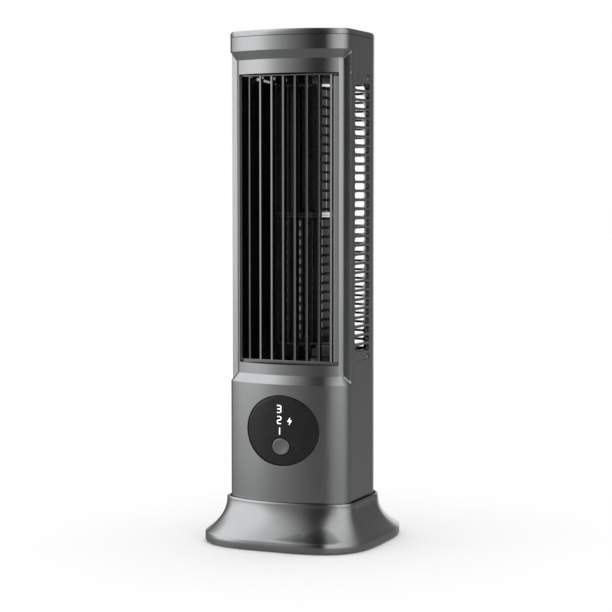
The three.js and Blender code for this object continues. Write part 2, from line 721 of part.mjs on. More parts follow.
// ---- battery and charging socket -----------------------------------------
const cellHalf = cellLength / 2;
const cell = rodX(cellY, cellZ, cellRadius, -cellHalf, cellHalf - 1.4)
  .add(rodX(cellY, cellZ, 3.4, cellHalf - 2, cellHalf, 20));
add('battery_cell', cell, 0x2c6f9c, 0.4, 0);
const cradleHalf = 26;
const cradleDeep = cellRadius - 1.2;
const cradleLow = shelfTop + 1.6;
const cradle = box(-cradleHalf, cradleHalf, cellY - cradleDeep, cellY + cradleDeep, cradleLow, cellZ - 1)
  .subtract(rodX(cellY, cellZ, cellRadius + fit, -cellLength, cellLength, 32));
add('battery_cradle', cradle, ...black);
const jack = prismY(socketOutline(0), back - 8.4, back - 0.6)
  .subtract(prismY(socketOutline(-0.35), back - 7.4, back + 1))
  .add(prismY(rounded(0, socketZ, 6.4, 0.7, 0.1, 1), back - 7.9, back - 2));
add('charge_socket', jack, ...steel);
add('charge_board', box(-8, 8, back - 20, back - 5, socketZ - 2.8, socketZ - 1.62), 0x1f5a38, 0.5, 0);

// ---- inner leads ---------------------------------------------------------
// red and black leads, mirror images of each other, from the motor, the cell and the charging board
const boardRear = boardY + boardThick + 0.65;
const cellTop = cellZ + cellRadius;
const leadX = cellHalf + 0.9;
const routes = {
  motor_lead: [
    [-5, axisY - 7.2, motorLow - 3.3], [-6, -6, motorLow - 7], [-7, -13, lensZ + 3],
    [-7, boardRear, lensZ - 1],
  ],
  battery_lead: [
    [leadX - 0.1, cellY, cellZ + 1], [leadX, cellY - 1.5, cellZ + 5.5],
    [leadX - 0.6, cellY - 3, cellTop + 1.4], [24, -8, cellTop + 3.8], [12, boardRear, cellTop + 6.8],
  ],
  charge_lead: [
    [3, back - 17, socketZ - 0.9], [4, 8, socketZ + 3], [4, -6, socketZ + 3], [4, boardRear, socketZ - 2],
  ],
};
for (const [name, route] of Object.entries(routes)) {
  const other = route.map(([x, y, z]) => [-x, y, z]);
  add(`${name}_red`, lead(route), 0xa82420, 0.5, 0);
  add(`${name}_black`, lead(other), 0x151516, 0.5, 0);
}

// ---- base ----------------------------------------------------------------
// flared skirt: upright lip, hollow curve up to a rim that stands just clear of the body
const rimGrow = 2.5;
const skirtWall = 2.4;
const lipTop = footHeight + lipHeight;
const flareSteps = 6;
const flare = (t) => 0.04 + 0.96 * (1 - (1 - t) ** 2.3);
const flareHigh = baseHeight - 1.2 - lipTop;
const skirtRings = [
  { z: footHeight, points: basePlan(0.5) },
  { z: footHeight + 0.5, points: basePlan(0) },
  { z: lipTop, points: basePlan(0) },
];
for (let k = 0; k <= flareSteps; k += 1) {
  const t = k / flareSteps;
  const points = blend(basePlan(0.6), rimPlan(rimGrow), flare(t));
  skirtRings.push({ z: lipTop + 0.6 + flareHigh * t, points });
}
skirtRings.push({ z: baseHeight, points: rimPlan(rimGrow - 0.7) });
const hollowRings = [
  { z: footHeight - 1, points: basePlan(skirtWall) },
  { z: lipTop, points: basePlan(skirtWall) },
];
for (let k = 0; k <= flareSteps; k += 1) {
  const t = (k / flareSteps) * 0.62;
  const points = blend(basePlan(skirtWall + 0.4), rimPlan(rimGrow - skirtWall), flare(t));
  hollowRings.push({ z: lipTop + 0.3 + (flareHigh - 1.4) * t, points });
}
const cut = shelfTop - shelfThick;
const under = loft(hollowRings).intersect(box(-baseWidth, baseWidth, -baseWidth, baseWidth, -5, cut))
  .add(prism(bodyPlan(1), lipTop + 4, cut));
const bodyGap = 0.5;
const seat = prism(bodyPlan(-bodyGap), shelfTop, baseHeight + 1);
let skirt = loft(skirtRings).subtract(seat).subtract(under);
for (const [x, y] of baseScrewPlaces) {
  skirt = skirt.subtract(rod(x, y, screwRadius + slide, cut - 1, shelfTop + 1, 12));
}
add('base_skirt', skirt, ...paint);
const plateTop = footHeight + 2.4;
const footPlaces = [
  ['front_left', -1, -1],
  ['front_right', 1, -1],
  ['rear_left', -1, 1],
  ['rear_right', 1, 1],
];
const footX = baseWidth / 2 - 17.5;
const footY = baseDepth / 2 - 17.5;
const footRadius = 6;
const footTop = footHeight + 1.15;
const footProfile = [[0, 0], [footRadius - 0.6, 0], [footRadius, 0.5], [footRadius, footTop], [0, footTop]];
let basePlate = prism(basePlan(skirtWall + slide), footHeight + 0.4, plateTop);
for (const [name, sideX, sideY] of footPlaces) {
  const x = sideX * footX;
  const y = sideY * footY;
  basePlate = basePlate.subtract(rod(x, y, footRadius + 0.2, footHeight - 1, footTop + 0.05));
  add(`foot_${name}`, turned(footProfile, x, y, 24), ...rubber);
}
add('base_plate', basePlate, ...black);
add('ballast_weight', prism(rounded(0, 0, 58, 50, 6), plateTop + 0.05, plateTop + 6), 0x7b7d80, 0.6, 1);
const shank = screwRadius - 0.1;
const headUnder = cut - 0.02;
const screwProfile = [
  [0, cut - 1.9], [headRadius, cut - 1.9], [headRadius + 0.1, cut - 0.3], [headRadius + 0.1, headUnder],
  [shank, headUnder], [shank, bodyBottom + screwLength - 1], [0, bodyBottom + screwLength - 0.5],
];
baseScrewPlaces.forEach(([x, y], k) => {
  add(`base_screw_${k + 1}`, turned(screwProfile, x, y, 16), ...steel);
});
const headY = partingY + headDepth;
postPlaces.forEach(([x, z], k) => {
  const screw = rodY(x, z, headRadius, headY + 0.02, headY + 1.8, 16)
    .add(rodY(x, z, screwRadius - 0.05, partingY - screwLength, headY + 0.5, 12))
    .subtract(box(x - 1.8, x + 1.8, headY + 1, headY + 3, z - 0.35, z + 0.35))
    .subtract(box(x - 0.35, x + 0.35, headY + 1, headY + 3, z - 1.8, z + 1.8));
  add(`cover_screw_${k + 1}`, screw, ...steel);
});

const fan = new THREE.Group();
fan.name = 'tower_fan';
for (const mesh of parts) {
  fan.add(mesh);
}
export default fan;
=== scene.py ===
import json
import math

import bpy
import numpy as np
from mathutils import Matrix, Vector


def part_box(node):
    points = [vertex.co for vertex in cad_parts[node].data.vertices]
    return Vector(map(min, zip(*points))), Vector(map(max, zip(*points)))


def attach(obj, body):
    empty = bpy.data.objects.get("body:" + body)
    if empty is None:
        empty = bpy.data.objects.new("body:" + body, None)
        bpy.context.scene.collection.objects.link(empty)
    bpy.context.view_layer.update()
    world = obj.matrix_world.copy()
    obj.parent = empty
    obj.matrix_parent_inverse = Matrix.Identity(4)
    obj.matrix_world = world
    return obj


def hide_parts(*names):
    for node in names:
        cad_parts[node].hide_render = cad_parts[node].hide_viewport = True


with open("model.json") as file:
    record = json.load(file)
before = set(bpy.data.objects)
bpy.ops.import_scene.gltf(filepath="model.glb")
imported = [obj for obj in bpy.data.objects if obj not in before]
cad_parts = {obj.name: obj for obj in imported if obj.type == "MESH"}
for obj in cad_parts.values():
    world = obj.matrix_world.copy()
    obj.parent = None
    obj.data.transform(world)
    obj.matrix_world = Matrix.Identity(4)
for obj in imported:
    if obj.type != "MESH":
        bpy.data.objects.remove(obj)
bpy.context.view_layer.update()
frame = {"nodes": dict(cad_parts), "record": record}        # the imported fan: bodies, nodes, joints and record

mm = 0.001
scene = bpy.context.scene
scene.view_settings.view_transform = "Standard"
nodes = frame["nodes"]


def span(node):          # lowest and highest corner of a frame node, in millimetres
    low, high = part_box(node)
    return np.array(low) / mm, np.array(high) / mm


class Signal:            # a shader socket that can be used in sums
    def __init__(self, tree, socket):
        self.tree = tree
        self.socket = socket

    def join(self, operation, first, second):
        node = self.tree.nodes.new("ShaderNodeMath")
        node.operation = operation
        for socket, value in zip(node.inputs, (first, second)):
            plug(self.tree, socket, value)
        return Signal(self.tree, node.outputs[0])

    def __add__(self, other):
        return self.join("ADD", self, other)

    def __radd__(self, other):
        return self.join("ADD", other, self)

    def __sub__(self, other):
        return self.join("SUBTRACT", self, other)

    def __rsub__(self, other):
        return self.join("SUBTRACT", other, self)

    def __mul__(self, other):
        return self.join("MULTIPLY", self, other)

    def __rmul__(self, other):
        return self.join("MULTIPLY", other, self)

    def __truediv__(self, other):
        return self.join("DIVIDE", self, other)

    def above(self, other):
        return self.join("GREATER_THAN", self, other)

    def atMost(self, other):
        return self.join("MINIMUM", self, other)

    def atLeast(self, other):
        return self.join("MAXIMUM", self, other)


def plug(tree, socket, value):
    if isinstance(value, Signal):
        tree.links.new(value.socket, socket)
    else:
        socket.default_value = value


class NodeTree:          # a shader tree; one method makes its nodes, with settings first and then sockets
    def __init__(self, tree):
        self.tree = tree

    def node(self, kind, settings=None, sockets=None, output=0):
        made = self.tree.nodes.new(kind)
        for key, value in (settings or {}).items():
            if key == "stops":
                setStops(made.color_ramp, value)
            else:
                setattr(made, key, value)
        for key, value in (sockets or {}).items():
            plug(self.tree, made.inputs[key], value)
        return Signal(self.tree, made.outputs[output]) if len(made.outputs) else None

    def axes(self, place):
        split = self.node("ShaderNodeSeparateXYZ", None, {0: place})
        return [Signal(self.tree, socket) for socket in split.socket.node.outputs]

    def ramp(self, factor, stops):
        return self.node("ShaderNodeValToRGB", {"stops": stops}, {"Fac": factor})


class Finish(NodeTree):  # one material and the nodes that feed its shader
    def __init__(self, name, **fixed):
        self.material = bpy.data.materials.new(name)
        self.material.use_nodes = True
        super().__init__(self.material.node_tree)
        self.shader = self.tree.nodes["Principled BSDF"]
        self.feed(**fixed)
        self.place = self.node("ShaderNodeTexCoord", output="Object")

    def noise(self, scale, detail=3.0, roughness=0.55, place=None):
        return self.node("ShaderNodeTexNoise", None, {
            "Vector": place or self.place, "Scale": scale, "Detail": detail, "Roughness": roughness})

    def bump(self, height, distance, strength):
        return self.node("ShaderNodeBump", None, {
            "Height": height, "Distance": distance, "Strength": strength})

    def feed(self, **links):
        for socket, signal in links.items():
            plug(self.tree, self.shader.inputs[socket.replace("_", " ")], signal)
        return self.material


def setStops(ramp, stops):
    while len(ramp.elements) < len(stops):
        ramp.elements.new(0.5)
    for element, (position, colour) in zip(ramp.elements, stops):
        element.position = position
        grey = isinstance(colour, float)
        element.color = (colour, colour, colour, 1) if grey else (*colour, 1)


def between(pair, share):      # a value some share of the way from the first of a pair to the second
    return pair[0] + (pair[1] - pair[0]) * share


flakeScale = 5200.0
paintLook = {"dark": (0.40, 0.405, 0.41), "light": (0.46, 0.465, 0.47), "rough": (0.15, 0.21)}
buttonLook = {"dark": (0.30, 0.30, 0.305), "light": (0.34, 0.34, 0.345), "rough": (0.32, 0.42)}


def paintedMetal(name, look):
    finish = Finish(name, Metallic=1.0)
    flakes = finish.noise(flakeScale, 2.0)
    cloud = finish.noise(38.0, 4.0)
    colour = finish.ramp(flakes * 0.75 + cloud * 0.25, [(0.38, look["dark"]), (0.62, look["light"])])
    roughness = between(look["rough"], cloud * 0.6 + flakes * 0.4)
    return finish.feed(Base_Color=colour, Roughness=roughness, Normal=finish.bump(flakes, 0.00002, 0.25))


def mouldedPlastic(name, dark, light, rough=(0.3, 0.42), grain=1400.0, depth=0.00003):
    finish = Finish(name)
    texture = finish.noise(grain, 3.0)
    wear = finish.noise(60.0, 4.0)
    colour = finish.ramp(wear * 0.7 + texture * 0.3, [(0.35, dark), (0.65, light)])
    return finish.feed(Base_Color=colour, Roughness=between(rough, wear),
                       Normal=finish.bump(texture, depth, 0.5))


def bareMetal(name, dark, light, rough=(0.22, 0.38), scale=700.0):
    finish = Finish(name, Metallic=1.0)
    stretched = finish.node("ShaderNodeMapping", None, {"Vector": finish.place, "Scale": (1.0, 1.0, 0.08)})
    brushed = finish.noise(scale, 4.0, place=stretched)
    colour = finish.ramp(brushed, [(0.35, dark), (0.65, light)])
    return finish.feed(Base_Color=colour, Roughness=between(rough, brushed),
                       Normal=finish.bump(brushed, 0.00002, 0.4))


lensLook = {"dark": (0.011, 0.011, 0.012), "light": (0.015, 0.015, 0.0165), "rough": (0.09, 0.17)}


def smokedLens():
    finish = Finish("smoked_lens", Coat_Weight=0.3, Coat_Roughness=0.04, Specular_IOR_Level=0.3)
    dust = finish.noise(220.0, 5.0)
    colour = finish.ramp(dust, [(0.3, lensLook["dark"]), (0.7, lensLook["light"])])
    return finish.feed(Base_Color=colour, Roughness=between(lensLook["rough"], dust))


litLook = {"dark": (0.86, 0.88, 0.9), "light": (0.97, 0.98, 1.0), "glow": 1.15}


def litWindow():
    finish = Finish("lit_figure", Emission_Strength=litLook["glow"], Roughness=0.4)
    cloud = finish.noise(900.0, 2.0)
    colour = finish.ramp(cloud, [(0.3, litLook["dark"]), (0.7, litLook["light"])])
    return finish.feed(Base_Color=colour, Emission_Color=colour)


boardLook = {"dark": (0.01, 0.075, 0.03), "light": (0.02, 0.14, 0.06), "rough": (0.35, 0.5)}


def circuitBoard():
    finish = Finish("solder_mask", Specular_IOR_Level=0.5)
    tracks = finish.node("ShaderNodeTexWave", {"wave_type": "BANDS", "bands_direction": "DIAGONAL"},
                         {"Vector": finish.place, "Scale": 160.0, "Distortion": 3.0, "Detail": 2.0}, output=1)
    colour = finish.ramp(tracks, [(0.45, boardLook["dark"]), (0.62, boardLook["light"])])
    return finish.feed(Base_Color=colour, Roughness=between(boardLook["rough"], tracks),
                       Normal=finish.bump(tracks, 0.00003, 0.4))


wrapLook = {"dark": (0.02, 0.12, 0.3), "light": (0.03, 0.17, 0.4), "rough": (0.25, 0.45)}


def cellWrap():
    finish = Finish("cell_wrap", Coat_Weight=0.4)
    crease = finish.noise(130.0, 5.0)
    colour = finish.ramp(crease, [(0.35, wrapLook["dark"]), (0.65, wrapLook["light"])])
    return finish.feed(Base_Color=colour, Roughness=between(wrapLook["rough"], crease),
                       Normal=finish.bump(crease, 0.0001, 0.4))


# the fins' paint colours are darker than the body paint: painted shade for the fins and bars set deep in the
# outlet
finShadedLook = {"dark": (0.27, 0.272, 0.275), "light": (0.32, 0.322, 0.325), "bare": (0.006, 0.006, 0.0065, 1),
           "rough": (0.24, 0.34), "painted": 0.7, "sharpness": 4000.0}


def finFinish():         # the front edges carry paint in a tone darker than the body's, painted shade for their place deep in the outlet; the sides are bare black plastic
    finish = Finish("fin_paint_shaded", Coat_Weight=0.1, Coat_Roughness=0.15)
    x, y, _ = finish.axes(finish.place)
    edge = grille["front"] * mm + x * x * (0.5 / (grille["arc"] * mm)) + finShadedLook["painted"] * mm
    bare = ((y - edge) * finShadedLook["sharpness"]).atLeast(0.0).atMost(1.0)
    painted = finish.ramp(finish.noise(flakeScale, 2.0), [(0.35, finShadedLook["dark"]), (0.65, finShadedLook["light"])])
    # sockets 6 and 7 of a colour Mix are its two colours, and output 2 is the mixed one
    colour = finish.node("ShaderNodeMix", {"data_type": "RGBA"}, {0: bare, 6: painted, 7: finShadedLook["bare"]},
                         output=2)
    return finish.feed(Base_Color=colour, Metallic=1 - bare, Roughness=between(finShadedLook["rough"], bare))


def addPiece(name, points, faces, material, body, stands=(), solid=0.0, bevel=0.0, sharp=40.0):
    mesh = bpy.data.meshes.new(name)
    mesh.from_pydata((np.asarray(points) * mm).tolist(), [], [list(map(int, f)) for f in faces])
    mesh.validate()
    mesh.materials.append(material)
    mesh.polygons.foreach_set("use_smooth", [True] * len(mesh.polygons))
    piece = bpy.data.objects.new(name, mesh)
    scene.collection.objects.link(piece)
    if solid:
        wall = piece.modifiers.new("wall", "SOLIDIFY")
        wall.thickness = solid * mm
        wall.offset = -1
        wall.use_even_offset = True
    if bevel:
        edge = piece.modifiers.new("edge", "BEVEL")
        edge.width = bevel * mm
        edge.segments = 2
        edge.limit_method = "ANGLE"
        edge.angle_limit = math.radians(32)
        edge.use_clamp_overlap = True
        even = piece.modifiers.new("even", "WEIGHTED_NORMAL")
        even.weight = 60
        even.keep_sharp = True
    else:
        mesh.set_sharp_from_angle(angle=math.radians(sharp))
    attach(piece, body)
    if stands:
        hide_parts(*stands)


def gridFaces(rows, columns, closeColumns=False):
    across = columns if closeColumns else columns - 1
    i, j = np.meshgrid(np.arange(rows - 1), np.arange(across), indexing="ij")
    k = (j + 1) % columns
    quads = np.stack([i * columns + j, i * columns + k, (i + 1) * columns + k, (i + 1) * columns + j], -1)
    return quads.reshape(-1, 4)


def closedTube(rows, columns):        # faces of a grid closed both ways, its last row joined to its first
    a = np.arange(columns)
    b, last = (a + 1) % columns, (rows - 1) * columns
    return np.concatenate([gridFaces(rows, columns, True), np.stack([last + a, last + b, b, a], -1)])


def unitCircle(count):
    angle = np.linspace(0, 2 * np.pi, count, endpoint=False)
    return np.stack([np.cos(angle), np.sin(angle)], -1)


def loftPiece(rings):    # closed body from rings (levels, around, 3), anticlockwise from above, low to high
    levels, around, _ = rings.shape
    faces = gridFaces(levels, around, True).tolist()
    faces.append(list(range(around))[::-1])
    faces.append(list(range((levels - 1) * around, levels * around)))
    return rings.reshape(-1, 3), faces


def together(*parts):     # several (points, faces) as one
    points, faces, start = [], [], 0
    for p, f in parts:
        points.append(np.asarray(p))
        faces += [[int(v) + start for v in face] for face in f]
        start += len(p)
    return np.concatenate(points), faces


def uprightPrism(outline, low, high):    # outline (n, 2) anticlockwise
    ring = np.stack([np.column_stack([outline, np.full(len(outline), z)]) for z in (low, high)])
    return loftPiece(ring)


def turnedPiece(profile, centre, around=64):   # profile of (radius, height) turned about an upright axis
    profile = np.asarray(profile, float)
    angle = np.linspace(0, 2 * np.pi, around, endpoint=False)
    radius, height = profile[:, :1], np.repeat(profile[:, 1:], around, 1)
    x, y = centre[0] + radius * np.cos(angle), centre[1] + radius * np.sin(angle)
    return loftPiece(np.stack([x, y, height], -1))


shellLow, shellHigh = span("front_housing")
rearLow, rearHigh = span("rear_cover")
body = {
    "half": shellHigh[0],
    "front": shellLow[1],
    "back": rearHigh[1],
    "low": shellLow[2],
    "joint": shellHigh[2],
    "part": (shellHigh[1] + rearLow[1]) / 2,
    "arc": 74.0,
    "corner": 9.0,
    "rearCorner": 18.5,
    "wall": 2.0,
    "recess": 4.0,
    "bevel": 4.7,
    "plate": 32.2,
    "head": 7.8,
    "control": 69.5,
    "brow": 7.8,
    "sill": 5.9,
    "slope": 1.45,
    "soft": 2.3,
    "edgeLean": 55.0,
    "step": (0.12, 0.45),
    "shoulder": (0.27, 0.35),
    "margin": 2.1,
}
arcY = body["front"] + body["arc"]
cornerX = body["half"] - body["corner"]
cornerY = arcY - math.sqrt((body["arc"] - body["corner"]) ** 2 - cornerX ** 2)
turn = math.asin(cornerX / (body["arc"] - body["corner"]))
rearX = body["half"] - body["rearCorner"]
rearY = body["back"] - body["rearCorner"]
# lengths along the outline at which its stretches end, from the front centre to the back centre
ends = np.cumsum([body["arc"] * turn, body["corner"] * (math.pi / 2 - turn), rearY - cornerY,
                  body["rearCorner"] * math.pi / 2, rearX])
upperEdge = body["joint"] - body["head"]
recessTop = upperEdge - body["bevel"]
windowTop = recessTop - body["brow"]
lowerEdge = body["low"] + body["control"]
recessBottom = lowerEdge + body["bevel"]
windowBottom = recessBottom + body["sill"]
windowHalf = body["plate"] - body["margin"]
eye = np.array([0.0, 10.0])      # the point that the outlines are seen from


def outline(s, inset=0.0):
    # points and normals at lengths s: front arc, corner arc, straight side, rear arc and straight back; the
    # points are then moved in along their normals
    whole = 2 * ends[4]
    s = np.asarray(s, float)
    folded = np.abs(s)
    back = folded > ends[4]
    a = np.where(back, whole - folded, folded)
    first, second, third, fourth, _ = ends
    stretches = [a < first, a < second, a < third, a < fourth]
    lean = np.select(stretches, [a / body["arc"], turn + (a - first) / body["corner"], np.pi / 2 + 0 * a,
                                 np.pi / 2 + (a - third) / body["rearCorner"]], np.pi)
    sine, cosine = np.sin(lean), np.cos(lean)
    x = np.select(stretches, [body["arc"] * sine, cornerX + body["corner"] * sine, body["half"] + 0 * a,
                              rearX + body["rearCorner"] * sine], rearX - (a - fourth))
    y = np.select(stretches, [arcY - body["arc"] * cosine, cornerY - body["corner"] * cosine,
                              cornerY + (a - second), rearY - body["rearCorner"] * cosine], body["back"])
    side = np.where(s < 0, -1.0, 1.0) * np.where(back, -1.0, 1.0)
    points = np.stack([side * (x - inset * sine), y + inset * cosine], -1)
    return points, np.stack([side * sine, -cosine], -1)


def polar(points):        # bearing from straight ahead and distance, seen from the eye point
    d = points - eye
    return np.arctan2(d[..., 0], -d[..., 1]), np.hypot(d[..., 0], d[..., 1])


def recessOutline():      # right half: plate arc, rounded edge, small step, sloping ledge, side
    r = body["arc"] - body["recess"]
    first, last = math.asin((body["plate"] - body["soft"]) / r), math.radians(body["edgeLean"])
    t = np.linspace(0, first, 400)
    plate = np.stack([r * np.sin(t), arcY - r * np.cos(t)], -1)
    q = body["soft"] / (math.sin(last) - math.sin(first))
    t = np.linspace(first, last, 13)[1:]
    edge = plate[-1] + q * np.stack([np.sin(t) - math.sin(first), math.cos(first) - np.cos(t)], -1)
    x, y = edge[-1]
    side, slope = body["half"], body["slope"]
    (stepX, stepY), (shoulderX, shoulderY) = body["step"], body["shoulder"]
    outer = np.array([[x + stepX, y + stepY], [side - shoulderX, y + shoulderY + slope],
                      [side, y + stepY + 2 * slope], [side, body["part"] + 9]])
    return np.concatenate([plate, edge, outer])


walk = np.linspace(0, ends[3], 4000)
walkBearing, walkReach = polar(outline(walk)[0])
recessBearing, recessReach = polar(recessOutline())
insetTables = {}


def reachAt(bearing, z):
    # distance of the front shell's skin from the eye point: the full outline outside the recess, and inside
    # it the recessed outline or, along the bevels, the full outline drawn in, whichever lies further out
    bearing = np.abs(bearing)
    full = np.interp(bearing, walkBearing, walkReach)
    recess = np.interp(bearing, recessBearing, recessReach)
    into = np.minimum(z - lowerEdge, upperEdge - z) / body["bevel"]
    result = np.array(full)
    for level in np.unique(np.round(into[(into > 0) & (into < 1)], 6)):
        if level not in insetTables:
            insetTables[level] = polar(outline(walk, level * body["recess"])[0])
        rows = np.abs(into - level) < 1e-5
        drawn = np.interp(bearing, *insetTables[level])
        result = np.where(rows, np.minimum(np.maximum(drawn, recess), full), result)
    return np.where(into > 1 - 1e-5, np.minimum(recess, full), result)


def skin(points):         # (s, z, depth) on the unrolled shell to (x, y, z)
    s, z, depth = points[:, 0], points[:, 1], points[:, 2]
    flat, normal = outline(s)
    bearing, reach = polar(flat)
    seen = np.abs(s) < ends[1] + 1.5
    reach = np.where(seen, reachAt(bearing, z), reach)
    ray = np.stack([np.sin(bearing), -np.cos(bearing)], -1)
    place = eye + reach[:, None] * ray - depth[:, None] * normal
    return np.column_stack([place, z])


class Sheet:             # a flat grid of lengths and heights, with blocks swapped for holes or marks
    def __init__(self, columns, rows):
        self.s = np.unique(np.round(columns, 5))
        self.z = np.unique(np.round(rows, 5))
        z, s = np.meshgrid(self.z, self.s, indexing="ij")
        self.points = [np.stack([s.ravel(), z.ravel(), np.zeros(s.size)], -1)]
        self.count = s.size
        self.keep = np.ones((len(self.z) - 1, len(self.s) - 1), bool)
        self.faces = []

    def near(self, s0, s1, z0, z1):
        pairs = ((self.s, s0), (self.s, s1), (self.z, z0), (self.z, z1))
        return [int(np.argmin(np.abs(line - value))) for line, value in pairs]

    def clear(self, s0, s1, z0, z1):
        a, b, c, d = self.near(s0, s1, z0, z1)
        self.keep[c:d, a:b] = False
        return a, b, c, d

    def cell(self, block, inner, rings=(0.55, 1.0), deep=0.0):
        # quads from the block's border to the outline that inner() puts its points on; deep sinks a floor
        a, b, c, d = self.clear(*block)
        n = len(self.s)
        loop = np.concatenate([c * n + np.arange(a, b), np.arange(c, d) * n + b,
                               d * n + np.arange(b, a, -1), np.arange(d, c, -1) * n + a])
        border = self.points[0][loop]
        target = inner(border[:, :2])
        rows = [loop]
        for share in rings:
            flat = border[:, :2] + (target - border[:, :2]) * share
            rows.append(self.extra(np.column_stack([flat, np.zeros(len(flat))])))
        if deep:
            rows.append(self.extra(np.column_stack([target, np.full(len(target), deep)])))
            self.faces.append(rows[-1].tolist())
        for low, high in zip(rows[:-1], rows[1:]):
            self.faces += np.stack([low, np.roll(low, -1), np.roll(high, -1), high], -1).tolist()

    def extra(self, points):
        self.points.append(points)
        self.count += len(points)
        return np.arange(self.count - len(points), self.count)

    def build(self):
        quads = gridFaces(len(self.z), len(self.s)).reshape(len(self.z) - 1, len(self.s) - 1, 4)
        points = np.concatenate(self.points)
        faces = quads[self.keep].tolist() + self.faces
        used = np.zeros(len(points), bool)
        used[np.concatenate([np.asarray(f) for f in faces])] = True
        index = np.cumsum(used) - 1
        return points[used], [[int(index[v]) for v in f] for f in faces]


def onStadium(x0, x1, z, height):     # nearest point of a slot outline with round ends
    r = height / 2

    def inner(p):
        middle = np.stack([np.clip(p[:, 0], x0 + r, x1 - r), np.full(len(p), z)], -1)
        away = p - middle
        return middle + r * away / np.linalg.norm(away, axis=1, keepdims=True)
    return inner


def onEllipse(x, z, rx, rz, toLength=None):   # point of an ellipse in the same direction from its centre
    def inner(p):
        flat = p if toLength is None else np.stack([fromLength(p[:, 0]), p[:, 1]], -1)
        away = (flat - [x, z]) / [rx, rz]
        hit = [x, z] + [rx, rz] * away / np.linalg.norm(away, axis=1, keepdims=True)
        return hit if toLength is None else np.stack([toLength(hit[:, 0]), hit[:, 1]], -1)
    return inner


def fromLength(s):        # sideways place of a point at length s
    return outline(s)[0][:, 0]


def frontLength(x):       # length along the front arc of a point that is x to the right
    return body["arc"] * np.arcsin(x / body["arc"])


slots = {"rows": 32, "open": 3.6, "from": -12.7, "long": 21.9, "low": 1.6, "high": 0.2, "mark": 0.7,
         "margin": 1.6}
seam = {"past": 0.8, "half": 0.05, "inside": 1.2}    # between the shells, past the end of the straight side
slotLow = windowBottom + slots["low"]
slotHigh = windowTop - slots["high"]
slotPitch = (slotHigh - slotLow - slots["open"]) / (slots["rows"] - 1)
slotMiddles = slotLow + slots["open"] / 2 + slotPitch * np.arange(slots["rows"])
slotLines = slotLow + slots["open"] / 2 + slotPitch * (np.arange(4 * slots["rows"] + 1) / 4 - 0.5)


def spaced(values):                   # in order, without those that fall on the one before
    values = np.unique(np.round(values, 4))
    return values[np.concatenate([[True], np.diff(values) > 0.05])]


def slotColumns(s0, s1, step):        # grid lines over a slot, closer together at its round ends
    r = slots["open"] / 2
    inner = np.linspace(s0 + r, s1 - r, max(2, round((s1 - s0 - 2 * r) / step) + 1))
    tips = np.array([-slots["margin"], 0.35 * r, r * 0.7])
    return np.concatenate([s0 + tips, inner, s1 - tips])


lensBox = span("display_lens")
lens = {
    "x": lensBox[1][0],
    "z": (lensBox[1][2] - lensBox[0][2]) / 2,
    "middle": (lensBox[1][2] + lensBox[0][2]) / 2,
    "gap": 0.35,
    "sink": 0.5,
    "thick": 1.4,
    "edge": 0.3,
    "block": (25.5, 22.0),
}


def frontHousing():      # an unrolled sheet with its openings, laid on the outline and given a wall
    print("front housing")
    panel, side = body["plate"], body["half"]
    # columns stand closer together where the panel's edge bends
    across = np.concatenate([
        [windowHalf], panel - np.linspace(1.8, 0.1, 8), panel + np.array([0, 0.06, 0.12, 0.3]),
        np.linspace(panel + 0.8, side - 0.3, 6), [side - 0.1],
    ])
    special = np.interp(np.interp(across, recessOutline()[:, 0], recessBearing), walkBearing, walk)
    blockEdge = frontLength(lens["block"][0])
    half = np.concatenate([
        np.linspace(0, blockEdge, 18), np.linspace(blockEdge, special[0], 3), special,
        np.linspace(special[-1], ends[1], 8)[1:],
    ])
    sideAt = ends[1] - cornerY           # add a depth y to get the length of a point on the side
    slotFrom = sideAt + slots["from"]
    slotTo = slotFrom + slots["long"]
    last = ends[2] + seam["past"] - seam["half"]
    beforeSeam = sideAt + body["part"] - seam["half"] - seam["inside"]
    half = np.concatenate([half, slotColumns(slotFrom, slotTo, 3.0), [beforeSeam, last]])
    half = spaced(half[half <= last + 1e-6])
    columns = np.concatenate([-half[::-1], half])
    lensLow, lensHigh = lens["middle"] - lens["block"][1], lens["middle"] + lens["block"][1]
    rows = np.concatenate([
        [body["low"], (body["low"] + lensLow) / 2], np.linspace(lensLow, lensHigh, 15), [lowerEdge],
        np.linspace(lowerEdge, recessBottom, 7), [(recessBottom + windowBottom) / 2, windowBottom],
        slotLines, [windowTop, (windowTop + recessTop) / 2], np.linspace(recessTop, upperEdge, 7),
        np.linspace(upperEdge, body["joint"], 4),
    ])
    sheet = Sheet(columns, rows)
    sheet.clear(-special[0], special[0], windowBottom, windowTop)
    reach = slots["margin"]
    for k, z in enumerate(slotMiddles):
        deep = slots["mark"] if k in (0, slots["rows"] - 1) else 0.0
        for s0, s1 in ((slotFrom, slotTo), (-slotTo, -slotFrom)):
            block = (s0 - reach, s1 + reach, z - slotPitch / 2, z + slotPitch / 2)
            sheet.cell(block, onStadium(s0, s1, z, slots["open"]), deep=deep)
    oval = onEllipse(0, lens["middle"], lens["x"] + lens["gap"], lens["z"] + lens["gap"], frontLength)
    sheet.cell((-blockEdge, blockEdge, lensLow, lensHigh), oval, rings=(0.3, 0.6, 0.85, 1.0))
    flat, faces = sheet.build()
    addPiece("frontHousing", skin(flat), faces, paint, "body", ["front_housing"],
             solid=body["wall"], bevel=0.28)


socketBox = span("charge_socket")
screwBoxes = [span(f"cover_screw_{k + 1}") for k in range(4)]
rear = {"slotNear": 4.0, "slotFar": 27.0, "port": 0.3}
well = {"radius": 2.9, "outer": 3.6, "hole": 1.6, "floor": 21.05, "thick": 1.2, "block": 5, "reach": 5.2}


def rearLength(x):        # length along the outline of a point on the back, x to the right of its middle
    onArc = ends[2] + body["rearCorner"] * np.arccos(np.clip((x - rearX) / body["rearCorner"], 0, 1))
    return np.where(x > rearX, onArc, ends[3] + rearX - x)


